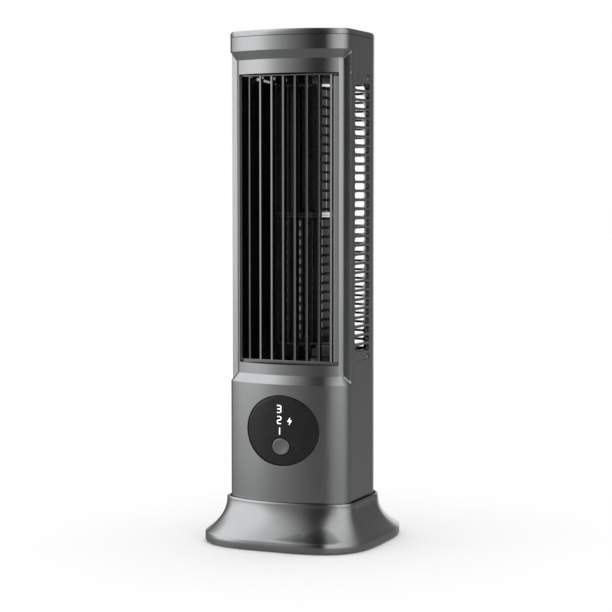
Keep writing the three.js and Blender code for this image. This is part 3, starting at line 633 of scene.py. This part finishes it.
def rearCover():         # made as the front housing is, with wells round the screws
    print("rear cover")
    whole = 2 * ends[4]
    near, far = float(rearLength(np.array(rear["slotNear"]))), float(rearLength(np.array(rear["slotFar"])))
    screws = [((low + high) / 2)[[0, 2]] for low, high in screwBoxes]
    wellX = abs(screws[0][0])
    wellS = [float(rearLength(np.array(wellX + d))) for d in (well["reach"], -well["reach"])]
    start = ends[2] + seam["past"] + seam["half"]
    rim = slots["margin"]
    portHalf = (socketBox[1][0] - socketBox[0][0]) / 2 + rear["port"]
    portTall = socketBox[1][2] - socketBox[0][2] + 2 * rear["port"]
    portZ = (socketBox[1][2] + socketBox[0][2]) / 2
    middle = ends[4]
    half = np.concatenate([
        np.linspace(start, far - slots["margin"], 12), slotColumns(far, near, 1.15), [wellS[0], wellS[1]],
        [middle - portHalf - rim, middle - portHalf + 0.4, middle - 2.0, middle],
    ])
    half = spaced(half)
    columns = np.concatenate([half, whole - half])
    block = well["block"]
    wellHeights = sorted({round(float(screw[1]), 4) for screw in screws})
    wellRows = [z + d for z in wellHeights for d in np.linspace(-block, block, 9)]
    rows = np.concatenate([
        [body["low"], body["low"] + 6], [portZ - portTall / 2 - rim, portZ - 0.9, portZ, portZ + 0.9],
        [portZ + portTall / 2 + rim], wellRows, [lowerEdge], slotLines, [windowTop + 4, body["joint"]],
    ])
    sheet = Sheet(columns, spaced(rows))
    for z in slotMiddles[1:-1]:
        for s0, s1 in ((far, near), (whole - near, whole - far)):
            sheet.cell((s0 - rim, s1 + rim, z - slotPitch / 2, z + slotPitch / 2),
                       onStadium(s0, s1, z, slots["open"]))
    port = onStadium(middle - portHalf, middle + portHalf, portZ, portTall)
    sheet.cell((middle - portHalf - rim, middle + portHalf + rim, portZ - portTall / 2 - rim,
                portZ + portTall / 2 + rim), port)
    wells = []
    for x, z in screws:
        toLength = rearLength if x > 0 else (lambda v: whole - rearLength(-v))
        s0, s1 = sorted(wellS if x > 0 else [whole - w for w in wellS])
        circle = onEllipse(x, z, well["radius"], well["radius"], toLength)
        sheet.cell((s0, s1, z - block, z + block), circle, rings=(0.6, 1.0))
        wells.append(screwWell(x, z))
    flat, faces = sheet.build()
    addPiece("rearCover", skin(flat), faces, paint, "body", ["rear_cover"],
             solid=body["wall"], bevel=0.25)
    points, faces = together(*wells)
    addPiece("screwWells", points, faces, paint, "body")


def screwWell(x, z):      # tube that runs in from the skin round a screw head, with a floor that has a hole
    angle = np.linspace(0, 2 * np.pi, 32, endpoint=False)
    radii = np.repeat([well["outer"], well["radius"], well["hole"]], 2)
    across = x + radii[:, None] * np.cos(angle)
    surface = rearY + np.sqrt(np.maximum(body["rearCorner"] ** 2 - (np.abs(across) - rearX) ** 2, 0))
    floor, under = np.full(32, well["floor"]), np.full(32, well["floor"] - well["thick"])
    level = np.stack([under, surface[1] - 1.6, surface[2] - 0.25, floor, floor, under])
    upright = z + radii[:, None] * np.sin(angle)
    rings = np.stack([across, level, upright], -1)
    return rings.reshape(-1, 3), gridFaces(6, 32, True)[:, ::-1]


capBox = span("top_cap")
cap = {"edge": 1.8, "gap": 0.1, "lip": 1.0, "chamfer": (0.25, 0.2), "flat": 4.0}


def topCap():            # the body's outline, drawn in along a quarter circle towards the top
    print("top cap")
    stretches = [np.linspace(low, high, count)[1:]
                 for low, high, count in zip([0, *ends[:4]], ends, (40, 14, 8, 22, 6))]
    s = np.concatenate([[0], *stretches])
    s = np.concatenate([s, (2 * ends[4] - s[::-1])[1:-1]])
    top, low = capBox[1][2], body["joint"] + cap["gap"]
    lean = np.linspace(0, np.pi / 2, 8)
    inset, rise = cap["chamfer"]
    levels = [(low, cap["lip"]), (low, inset), (low + rise, 0.0), (top - cap["edge"], 0.0)]
    levels += [(top - cap["edge"] * (1 - math.sin(t)), cap["edge"] * (1 - math.cos(t))) for t in lean[1:]]
    levels += [(top, cap["flat"])]
    rings = np.stack([np.column_stack([outline(s, inset)[0], np.full(len(s), z)]) for z, inset in levels])
    points, faces = loftPiece(rings)
    addPiece("topCap", points, faces, paint, "body", ["top_cap"], sharp=50)


grilleBox = span("outlet_grille")
tongueBox = span("outlet_tongue")
grille = {
    "half": grilleBox[1][0],
    "front": grilleBox[0][1],
    "back": grilleBox[1][1],
    "arc": 238.0,
    "fins": 8,
    "end": 5.3,
    "thick": 1.15,
    "setBack": 0.25,
    "chamfer": 0.12,
    "nose": 0.35,
    "topBar": (0.35, 1.15),
    "lowBar": (-0.4, 1.9),
    "barRound": 0.15,
    "barDeep": 3.9,
}


def finLine(x):           # how far forward the fins' edges stand, a flat arc across the outlet
    return grille["front"] + grille["arc"] - np.sqrt(grille["arc"] ** 2 - np.square(x))


def outletGrille():
    print("outlet grille")
    parts, bars = [], []
    pitch = 2 * (windowHalf - grille["end"]) / (grille["fins"] - 1)
    for k in range(grille["fins"]):
        x = (k - (grille["fins"] - 1) / 2) * pitch
        r = grille["thick"] / 2
        lean = r * x / body["arc"]           # the front edge is cut square to the front face's arc
        flat = finLine(x) + grille["setBack"]
        left, right = flat - lean, flat + lean
        cut, nose, tail = grille["chamfer"], grille["nose"], grille["back"] + 0.3
        section = np.array([[x - r, left + nose], [x - r, left], [x - r + cut, left - cut],
                            [x + r - cut, right - cut], [x + r, right], [x + r, right + nose],
                            [x + nose, tail], [x - nose, tail]])
        parts.append(uprightPrism(section, windowBottom + 0.5, windowTop - 0.5))
    x = np.linspace(-grille["half"], grille["half"], 41)
    e, deep = grille["barRound"], grille["barDeep"]
    for low, sign, (gap, bar) in ((windowBottom, 1, grille["lowBar"]), (windowTop, -1, grille["topBar"])):
        profile = np.array([(gap, e), (gap + e, 0.0), (bar - e, 0.0), (bar, e), (bar, deep), (gap, deep)])
        count = len(x)
        rings = np.stack([np.column_stack([x, finLine(x) + d, np.full(count, low + sign * z)])
                          for z, d in profile])
        starts = np.arange(len(profile)) * count
        a = (starts[:, None] + np.arange(count - 1)).reshape(-1)
        b = (np.roll(starts, -1)[:, None] + np.arange(count - 1)).reshape(-1)
        faces = np.stack([a, a + 1, b + 1, b], -1).tolist()
        faces += [starts.tolist(), (starts + count - 1)[::-1].tolist()]
        bars.append((rings.reshape(-1, 3), faces if sign > 0 else [face[::-1] for face in faces]))
    points, faces = together(*parts, *bars)
    addPiece("outletGrille", points, faces, shadedFinPaint, "body", ["outlet_grille"], sharp=25)


tongue = {"wide": 3.3, "round": 0.35, "inward": 1.3, "outerBend": 8.0, "innerBend": 6.6}


def outletTongue():      # an upright wall beside the last fin, which turns in towards the rotor
    print("tongue")
    low, high = tongueBox
    right, left = high[0], high[0] - tongue["wide"]
    front = finLine(right - tongue["inward"])
    r = tongue["round"]
    outer = [(right, front + r), (right, low[1] + tongue["outerBend"]), (low[0] + 2.0, high[1] - 0.2),
             (low[0] + 0.2, high[1] - 0.6), (left, low[1] + tongue["innerBend"]), (left, front + r),
             (left + r, front), (right - r, front)]
    points, faces = uprightPrism(np.array(outer), low[2], high[2])
    addPiece("outletTongue", points, faces, paint, "body", ["outlet_tongue"], bevel=0.15)


rotor = {"blades": 22, "sweep": 0.22, "chord": 6.0, "thick": 0.9, "disc": 1.6, "rim": 0.4, "hub": 5.0,
         "bore": 3.6, "hubLong": 4.0, "hubOut": (3.0, 1.0)}


def rotorHalf(name, node, turned):       # two discs, a hub and a ring of blades; turned in parts of a pitch
    print(name)
    low, high = span(node)
    centre = (low[:2] + high[:2]) / 2
    radius = (high[0] - low[0]) / 2
    lower = node == "rotor_lower"
    below, above = rotor["hubOut"]           # how far the hub stands out past the end disc
    z0, z1 = (low[2] + below, high[2]) if lower else (low[2], high[2] - above)
    d, hubRadius, bore = rotor["disc"], rotor["hub"], rotor["bore"]
    parts = []
    t = np.linspace(-np.pi / 2, np.pi / 2, 7)
    rim = np.stack([radius - 0.5 + 0.5 * np.cos(t), d / 2 + d / 2 * np.sin(t)], -1)
    disc = np.concatenate([[(hubRadius, 0)], rim, [(hubRadius, d)]])
    for level in (z0, z1 - d):               # discs with a rounded rim
        parts.append(turnedPiece(disc + [0, level], centre, 96))
    foot, head = (z0 - below, z0 + rotor["hubLong"]) if lower else (z1 - rotor["hubLong"], z1 + above)
    hub = [(bore, foot), (hubRadius - 0.2, foot), (hubRadius, foot + 0.3), (hubRadius, head - 0.3),
           (hubRadius - 0.2, head), (bore, head)]
    parts.append(turnedPiece(hub, centre, 48))
    # a blade is an arc from the inner to the outer edge, thickened and rounded, then turned round the hub
    t = np.linspace(0, 1, 9)
    r = radius - rotor["rim"] - rotor["chord"] * (1 - t)
    a = rotor["sweep"] * np.sin(t * np.pi / 2) - rotor["sweep"] / 2
    half = 0.5 * rotor["thick"] * np.sqrt(np.clip(1 - (2 * t - 1) ** 4, 0.04, 1)) / r
    section = np.concatenate([np.stack([r, a - half], -1), np.stack([r[::-1], (a + half)[::-1]], -1)])
    for k in range(rotor["blades"]):
        bearing = section[:, 1] + 2 * np.pi * (k + turned) / rotor["blades"]
        blade = centre + section[:, :1] * np.stack([np.cos(bearing), np.sin(bearing)], -1)
        parts.append(uprightPrism(blade, z0 + 0.6, z1 - 0.6))
    points, faces = together(*parts)
    addPiece(name, points, faces, rotorPlastic, "rotor", [node], sharp=45)


guide = {"from": 112, "to": 180, "rotorGap": 2.2, "wallGap": 2, "thick": 1.4}


def airGuide():          # a spiral from the back round the rotor's left side, then straight forward
    print("air guide")
    low, high = span("air_guide")
    rotorLow, rotorHigh = span("rotor_lower")
    axisY = (rotorLow[1] + rotorHigh[1]) / 2
    near = (rotorHigh[0] - rotorLow[0]) / 2 + guide["rotorGap"]
    far = body["half"] - body["wall"] - guide["wallGap"]
    t = np.linspace(0, 1, 48)
    angle = np.radians(between((guide["from"], guide["to"]), t))
    r = between((near, far), t)
    wallLine = np.stack([r * np.cos(angle), axisY + r * np.sin(angle)], -1)
    run = np.linspace(axisY, low[1] + 0.1, 12)[1:]
    wallLine = np.concatenate([wallLine, np.stack([np.full(len(run), -far), run], -1)])
    along = np.gradient(wallLine, axis=0)
    along /= np.linalg.norm(along, axis=1, keepdims=True)
    outer = wallLine + guide["thick"] * np.stack([along[:, 1], -along[:, 0]], -1)
    points, faces = uprightPrism(np.concatenate([wallLine, outer[::-1]]), low[2], high[2])
    addPiece("airGuide", points, faces, blackPlastic, "body", ["air_guide"],
             sharp=45)


buttonBox = span("power_button")
knob = {
    "x": buttonBox[1][0],
    "z": (buttonBox[1][2] - buttonBox[0][2]) / 2,
    "middle": (buttonBox[1][2] + buttonBox[0][2]) / 2,
    "front": buttonBox[0][1],
    "back": buttonBox[1][1],
    "dish": 0.25,
    "round": 0.55,
    "thick": 3.3,
    "stem": 2.0,
    "gap": 0.3,
}


def arcDepth(x, sink):    # depth of a point on the front arc sunk by the given amount
    return arcY - np.sqrt((body["arc"] - sink) ** 2 - np.square(x))


def displayLens():
    print("display lens")
    circle = unitCircle(96)
    outer = [0, lens["middle"]] + circle * [lens["x"], lens["z"]]
    hole = [0, knob["middle"]] + circle * [knob["x"] + knob["gap"], knob["z"] + knob["gap"]]
    # wall of the hole, rounded lip, face in 14 steps, rounded rim, outer wall, and the back between the walls
    outward = (outer - hole) / np.linalg.norm(outer - hole, axis=1, keepdims=True) * lens["edge"]
    turns = np.linspace(0, np.pi / 2, 5)[:-1]
    steps = [(1 - math.cos(a), lens["edge"] * (1 - math.sin(a))) for a in turns]
    stack = [(hole, lens["thick"])] + [(hole + outward * q, d) for q, d in steps]
    stack += [(hole + outward + (outer - hole - 2 * outward) * share, 0.0) for share in np.linspace(0, 1, 15)]
    stack += [(outer - outward * q, d) for q, d in steps[::-1]] + [(outer, lens["thick"])]
    rows = np.stack([np.stack([p[:, 0], arcDepth(p[:, 0], lens["sink"] + d), p[:, 1]], -1) for p, d in stack])
    faces = closedTube(len(stack), 96)
    addPiece("displayLens", rows.reshape(-1, 3), faces, lensFinish, "body", ["display_lens"],
             sharp=60)


figures = {"pen": 0.27, "proud": 0.03, "deep": 0.3, "x": -1.1, "wide": 2.2, "tall": 3.9, "first": -0.3,
           "pitch": 6.15, "bolt": (5.1, 5.4)}
bend = [(0.3, 0.5), (0.5, 0.34), (0.5, 0.16), (0.3, 0)]
openBend = [(-0.3, 0), (-0.5, -0.16), (-0.5, -0.34), (-0.35, -0.5)]
lowerBend = [(0.3, 0), (0.5, -0.16), (0.5, -0.34), (0.3, -0.5)]
strokes = {
    "One": [[(0.12, 0.44), (0.12, -0.44)]],
    "Two": [[(-0.4, 0.5), *bend, *openBend, (0.4, -0.5)]],
    "Three": [[(-0.5, 0.5), *bend, (-0.4, 0)], [*lowerBend, (-0.5, -0.5)]],
}
boltOutline = [(0.3, 2.3), (-1.35, -0.3), (-0.15, -0.3), (-0.45, -2.3), (1.35, 0.5), (0.15, 0.5)]


def litMark(edge, faces):     # flat mark that follows the lens and stands a hair proud of it
    count = len(edge)
    front = np.column_stack([edge[:, 0], arcDepth(edge[:, 0], lens["sink"]) - figures["proud"], edge[:, 1]])
    back = front + [0, figures["deep"], 0]
    k = np.arange(count)
    n = (k + 1) % count
    sides = np.stack([k, k + count, n + count, n], -1).tolist()
    behind = [[v + count for v in reversed(face)] for face in faces]
    return np.concatenate([front, back]), faces + behind + sides


def strokeMark(path):     # a pen of constant width along a line, with its bends and ends rounded
    p = np.array(path)
    for _ in range(2):    # cut each corner at a quarter and three quarters of its sides
        a, b = p[:-1], p[1:]
        cut = np.stack([a * 0.75 + b * 0.25, a * 0.25 + b * 0.75], 1).reshape(-1, 2)
        p = np.concatenate([p[:1], cut, p[-1:]])
    along = np.gradient(p, axis=0)
    heading = np.arctan2(along[:, 1], along[:, 0])
    aside = figures["pen"] * np.stack([-np.sin(heading), np.cos(heading)], -1)
    sweep = np.linspace(np.pi / 2, -np.pi / 2, 9)[1:-1]
    tip, tail = [figures["pen"] * np.stack([np.cos(a), np.sin(a)], -1)
                 for a in (heading[-1] + sweep, heading[0] + np.pi + sweep)]
    edge = np.concatenate([p + aside, p[-1] + tip, (p - aside)[::-1], p[0] + tail])
    n, t = len(p), len(sweep)
    k = np.arange(n - 1)
    opposite = 2 * n + t - 1 - k
    faces = np.stack([k, k + 1, opposite - 1, opposite], -1).tolist()
    faces += [list(range(n - 1, n + t + 1)), [*range(2 * n + t - 1, 2 * n + 2 * t), 0]]
    return litMark(edge, [face[::-1] for face in faces])


def displayFigures():
    print("figures")
    for k, (name, lines) in enumerate(strokes.items()):
        size = np.array([figures["wide"], figures["tall"]])
        centre = np.array([figures["x"], lens["middle"] + figures["first"] + k * figures["pitch"]])
        points, faces = together(*[strokeMark(centre + size * np.array(line)) for line in lines])
        addPiece(f"figure{name}", points, faces, lit, "body", [f"window_{name.lower()}"])
    edge = np.array(boltOutline) + figures["bolt"] + np.array([0, lens["middle"]])
    points, faces = litMark(edge, [list(range(len(boltOutline)))])
    addPiece("figureBolt", points, faces, lit, "body", ["window_bolt"])


def powerButton():       # rounded rim and dished face on a round stem
    print("power button")
    circle = unitCircle(64)
    turnIn = np.linspace(0, np.pi / 2, 6)
    steps = [(1.0, knob["thick"])] + [(1 - knob["round"] / knob["x"] * (1 - math.cos(a)),
                                       knob["round"] * (1 - math.sin(a))) for a in turnIn]
    inner = steps[-1][0]
    steps += [(inner * q, knob["dish"] * (1 - q * q)) for q in (0.85, 0.65, 0.45, 0.25, 0.05)]
    front, middle, half = knob["front"], knob["middle"], np.array([knob["x"], knob["z"]])
    rims = [(q * half * circle, front + d) for q, d in steps]
    cap = [np.column_stack([rim[:, 0], np.full(64, y), middle + rim[:, 1]]) for rim, y in rims]
    stem = knob["stem"] * circle
    post = [np.column_stack([stem[:, 0], np.full(64, y), middle + stem[:, 1]])
            for y in (knob["back"], front + 3.0)]
    points, faces = together(loftPiece(np.stack(cap)), loftPiece(np.stack(post)))
    addPiece("powerButton", points, faces, buttonFinish, "button", ["power_button"],
             sharp=50)


skirtBox = span("base_skirt")
base = {
    "halfX": skirtBox[1][0],
    "halfY": skirtBox[1][1],
    "low": skirtBox[0][2],
    "top": skirtBox[1][2],
    "power": 3.3,
    "lip": 5.0,
    "rim": 2.5,
    "shelf": 4.0,
    "floor": 2.0,
    "flare": 2.3,
    "around": 192,
}


def softSquare(angle, inset):     # a circle's points pushed out towards a square
    c, s = np.cos(angle), np.sin(angle)
    e = 2 / base["power"]
    return np.stack([np.sign(c) * (base["halfX"] - inset) * np.abs(c) ** e,
                     np.sign(s) * (base["halfY"] - inset) * np.abs(s) ** e], -1)


def rimLine(angle, grow):         # the body's outline grown outwards, met in the soft square's directions
    s = np.linspace(-ends[4], ends[4], 4000)
    flat = outline(s, -grow)[0]
    bearing = np.arctan2(flat[:, 1], flat[:, 0])
    order = np.argsort(bearing)
    aim = softSquare(angle, 0)
    want = np.arctan2(aim[:, 1], aim[:, 0])
    reach = np.interp(want, bearing[order], np.hypot(flat[:, 0], flat[:, 1])[order], period=2 * np.pi)
    return reach[:, None] * np.stack([np.cos(want), np.sin(want)], -1)


def baseSkirt():         # a soft square outline that flares up into the body's outline
    print("base skirt")
    # even spacing round the outline: angles whose soft square points are equally far apart
    fine = np.linspace(0, 2 * np.pi, 6000)
    spots = softSquare(fine, 0)
    run = np.concatenate([[0], np.cumsum(np.linalg.norm(np.diff(spots, axis=0), axis=1))])
    angle = np.interp(np.linspace(0, run[-1], base["around"], endpoint=False), run, fine)
    foot, lipTop, top = base["low"], base["low"] + base["lip"], base["top"]
    # each step: height above the foot or the lip's top, and how far the outline is drawn in there
    footSteps = ((0, 2.4), (0, 0.6), (0.18, 0.18), (0.6, 0))
    lipSteps = ((-0.3, 0), (0, 0.12), (0.3, 0.5))
    levels = [(foot + rise, softSquare(angle, inset)) for rise, inset in footSteps]
    levels += [(lipTop + rise, softSquare(angle, inset)) for rise, inset in lipSteps]
    flare = softSquare(angle, 0.6), rimLine(angle, base["rim"])
    for t in np.linspace(0, 1, 26)[1:]:      # the flare: quick inwards at first, then nearly upright
        z = lipTop + 0.6 + (top - 1.2 - lipTop) * t
        levels.append((z, between(flare, 0.04 + 0.96 * (1 - (1 - t) ** base["flare"]))))
    # each step: height below the top, and how far the body's outline is grown there
    shelf, floor = base["shelf"], base["shelf"] + base["floor"]
    rimSteps = ((0.22, base["rim"] - 0.15), (0, base["rim"] - 0.35), (0, 1.25), (0.15, 1.05), (0.4, 1.0),
                (shelf, 1.0), (shelf, -9.0), (floor, -9.0), (floor, -1.5))
    levels += [(top - drop, rimLine(angle, grow)) for drop, grow in rimSteps]
    rings = np.stack([np.column_stack([ring, np.full(base["around"], z)]) for z, ring in levels])
    faces = closedTube(len(levels), base["around"])
    addPiece("baseSkirt", rings.reshape(-1, 3), faces, paint, "body", ["base_skirt"],
             sharp=50)


paint = paintedMetal("gunmetal_paint", paintLook)
shadedFinPaint = finFinish()
blackPlastic = mouldedPlastic("black_plastic", (0.006, 0.006, 0.0065), (0.012, 0.012, 0.013))
rotorPlastic = mouldedPlastic("rotor_plastic", (0.016, 0.016, 0.0165), (0.026, 0.026, 0.027), (0.05, 0.09),
                              depth=0.000005)
lensFinish = smokedLens()
lit = litWindow()
buttonFinish = paintedMetal("button_paint", buttonLook)
finishes = {
    "painted": paint,
    "black_plastic": blackPlastic,
    "rubber": mouldedPlastic("rubber", (0.018, 0.018, 0.018), (0.035, 0.035, 0.035), (0.7, 0.9),
                             grain=900.0, depth=0.00006),
    "bronze": bareMetal("bronze", (0.36, 0.2, 0.07), (0.5, 0.3, 0.12)),
    "steel": bareMetal("steel", (0.5, 0.5, 0.51), (0.66, 0.66, 0.67)),
    "white_plastic": mouldedPlastic("white_nylon", (0.7, 0.7, 0.68), (0.82, 0.82, 0.8)),
    "lens": lensFinish,
    "light_window": lit,
    "button_paint": buttonFinish,
    "circuit_board": circuitBoard(),
    "led": mouldedPlastic("led_body", (0.75, 0.7, 0.5), (0.85, 0.8, 0.6), (0.15, 0.25)),
    "cell_wrap": cellWrap(),
    "lead_red": mouldedPlastic("red_lead", (0.32, 0.014, 0.01), (0.46, 0.025, 0.02)),
    "lead_black": mouldedPlastic("black_lead", (0.008, 0.008, 0.008), (0.016, 0.016, 0.016)),
}
slotOf = {row["node"]: row["material_slot"] for row in frame["record"]["subparts"]}
for name, piece in nodes.items():
    piece.data.materials.clear()
    piece.data.materials.append(finishes[slotOf[name]])

print("pieces")
frontHousing()
rearCover()
topCap()
outletGrille()
outletTongue()
rotorHalf("rotorLower", "rotor_lower", 0.0)
rotorHalf("rotorUpper", "rotor_upper", 0.5)
airGuide()
displayLens()
displayFigures()
powerButton()
baseSkirt()


print("studio")
studio = {"azimuth": 23.385, "elevation": 3.883, "distance": 1017.6, "focal": 105.59, "sensor": 36,
          "aside": 2.169, "height": 132.2, "forward": -1.7}


def addCamera():
    a, e = math.radians(studio["azimuth"]), math.radians(studio["elevation"])
    back = Vector((math.sin(a) * math.cos(e), -math.cos(a) * math.cos(e), math.sin(e)))
    right = Vector((math.cos(a), math.sin(a), 0))
    data = bpy.data.cameras.new("camera")
    data.sensor_width = studio["sensor"]
    data.lens = studio["focal"]
    camera = bpy.data.objects.new("camera", data)
    aim = Vector((0, studio["forward"], studio["height"])) + right * studio["aside"]
    camera.location = (aim + back * studio["distance"]) * mm
    camera.rotation_mode = "QUATERNION"
    camera.rotation_quaternion = (-back).to_track_quat("-Z", "Y")
    data.clip_start = 0.05
    data.clip_end = 50
    scene.collection.objects.link(camera)
    scene.camera = camera


floorLook = {"reach": 6.0, "dark": (0.93, 0.93, 0.93), "light": (0.95, 0.95, 0.95), "rough": (0.8, 0.9)}


def addFloor():
    mesh = bpy.data.meshes.new("floor")
    r = floorLook["reach"]
    mesh.from_pydata([(-r, -r, 0), (r, -r, 0), (r, r, 0), (-r, r, 0)], [], [(0, 1, 2, 3)])
    floor = bpy.data.objects.new("floor", mesh)
    scene.collection.objects.link(floor)
    finish = Finish("pale_floor", Specular_IOR_Level=0.1)
    cloud = finish.noise(3.0, 2.0)
    colour = finish.ramp(cloud, [(0.3, floorLook["dark"]), (0.7, floorLook["light"])])
    mesh.materials.append(finish.feed(Base_Color=colour, Roughness=between(floorLook["rough"], cloud)))
    floor.visible_glossy = False


# brightness of the surroundings by bearing in degrees from straight ahead, positive to the right
surround = [
    (-180, 1.0), (-152, 1.0), (-140, 0.3), (-130, 0.08), (-105, 0.3), (-93, 0.45), (-85, 0.62), (-79, 0.85),
    (-72, 1.25), (-66, 1.36), (-48, 1.34), (-42, 1.12), (-36, 0.82), (-30, 0.6), (-24, 0.46), (-13, 0.28),
    (-3, 0.16), (6, 0.05), (21, 0.02), (24.5, 0.62), (30, 0.95), (52, 1.0), (75, 0.84), (97, 0.45),
    (112, 0.17), (163, 0.14), (170, 0.4), (176, 1.0), (180, 1.0),
]
sky = {"over": 2.6, "overFrom": 0.08, "most": 1.36, "fade": 6.6, "from": 0.03, "least": 0.1, "haze": 0.19,
       "hazeBand": 0.25, "floor": 0.2, "fill": 1.13, "backdrop": 1.0}
sideLamp = {"bearing": 112, "distance": 0.8, "low": 0.114, "high": 0.275, "power": 1600.0, "size": 0.008,
            "blend": 0.15}


def addSideLamp():        # narrow level beam that falls through the side slots on the rotor
    aim, reach = math.radians(sideLamp["bearing"]), sideLamp["distance"]
    lamp = bpy.data.lights.new("sideLamp", "SPOT")
    lamp.energy = sideLamp["power"]
    lamp.shadow_soft_size = sideLamp["size"]
    lamp.spot_size = 2 * math.atan((sideLamp["high"] - sideLamp["low"]) / 2 / reach)
    lamp.spot_blend = sideLamp["blend"]
    held = bpy.data.objects.new("sideLamp", lamp)
    held.location = (reach * math.sin(aim), -reach * math.cos(aim), (sideLamp["low"] + sideLamp["high"]) / 2)
    held.rotation_euler = (math.radians(90), 0, aim)
    held.visible_glossy = False
    scene.collection.objects.link(held)


def addWorld():
    world = bpy.data.worlds.new("studio")
    scene.world = world
    world.use_nodes = True
    world.node_tree.nodes.clear()
    tree = NodeTree(world.node_tree)
    x, y, z = tree.axes(tree.node("ShaderNodeTexCoord", output="Generated"))
    # the bands run over the top in planes that meet behind the object, so that a surface shows one band from
    # its upright part to its sloping part: the bearing is taken halfway between a direction and the main view
    view = math.radians(studio["azimuth"])
    half = x.join("ARCTAN2", x + math.sin(view), math.cos(view) - y)
    bearing = half / math.pi + (0.5 - view / (2 * math.pi))
    turns = bearing - bearing.join("FLOOR", bearing, 0.0)
    band = tree.ramp(turns, [((angle + 180) / 360, level) for angle, level in surround])
    clear = (1 + (z + sky["from"]) * sky["fade"]).atMost(1.0).atLeast(sky["least"])
    leftward = (0 - x).atLeast(0.0)
    upward = (1 + sky["over"] * (z - sky["overFrom"]).atLeast(0.0) * leftward).atMost(2.0)
    deep = (z * -2).atLeast(0.0).atMost(1.0)
    haze = sky["haze"] + sky["hazeBand"] * band.atMost(0.5)
    bright = (band * upward).atMost(sky["most"])
    level = bright * clear + (1 - clear) * (haze + (sky["floor"] - haze) * deep)
    matt = tree.node("ShaderNodeLightPath", output="Is Diffuse Ray")
    seen = tree.node("ShaderNodeLightPath", output="Is Camera Ray")
    white = (1, 1, 1, 1)
    strength = level + matt * (sky["fill"] - level)
    lights = tree.node("ShaderNodeBackground", None, {"Color": white, "Strength": strength})
    backdrop = tree.node("ShaderNodeBackground", None, {"Color": white, "Strength": sky["backdrop"]})
    both = tree.node("ShaderNodeMixShader", None, {0: seen, 1: lights, 2: backdrop})
    tree.node("ShaderNodeOutputWorld", None, {"Surface": both})


addCamera()
addFloor()
addSideLamp()
addWorld()
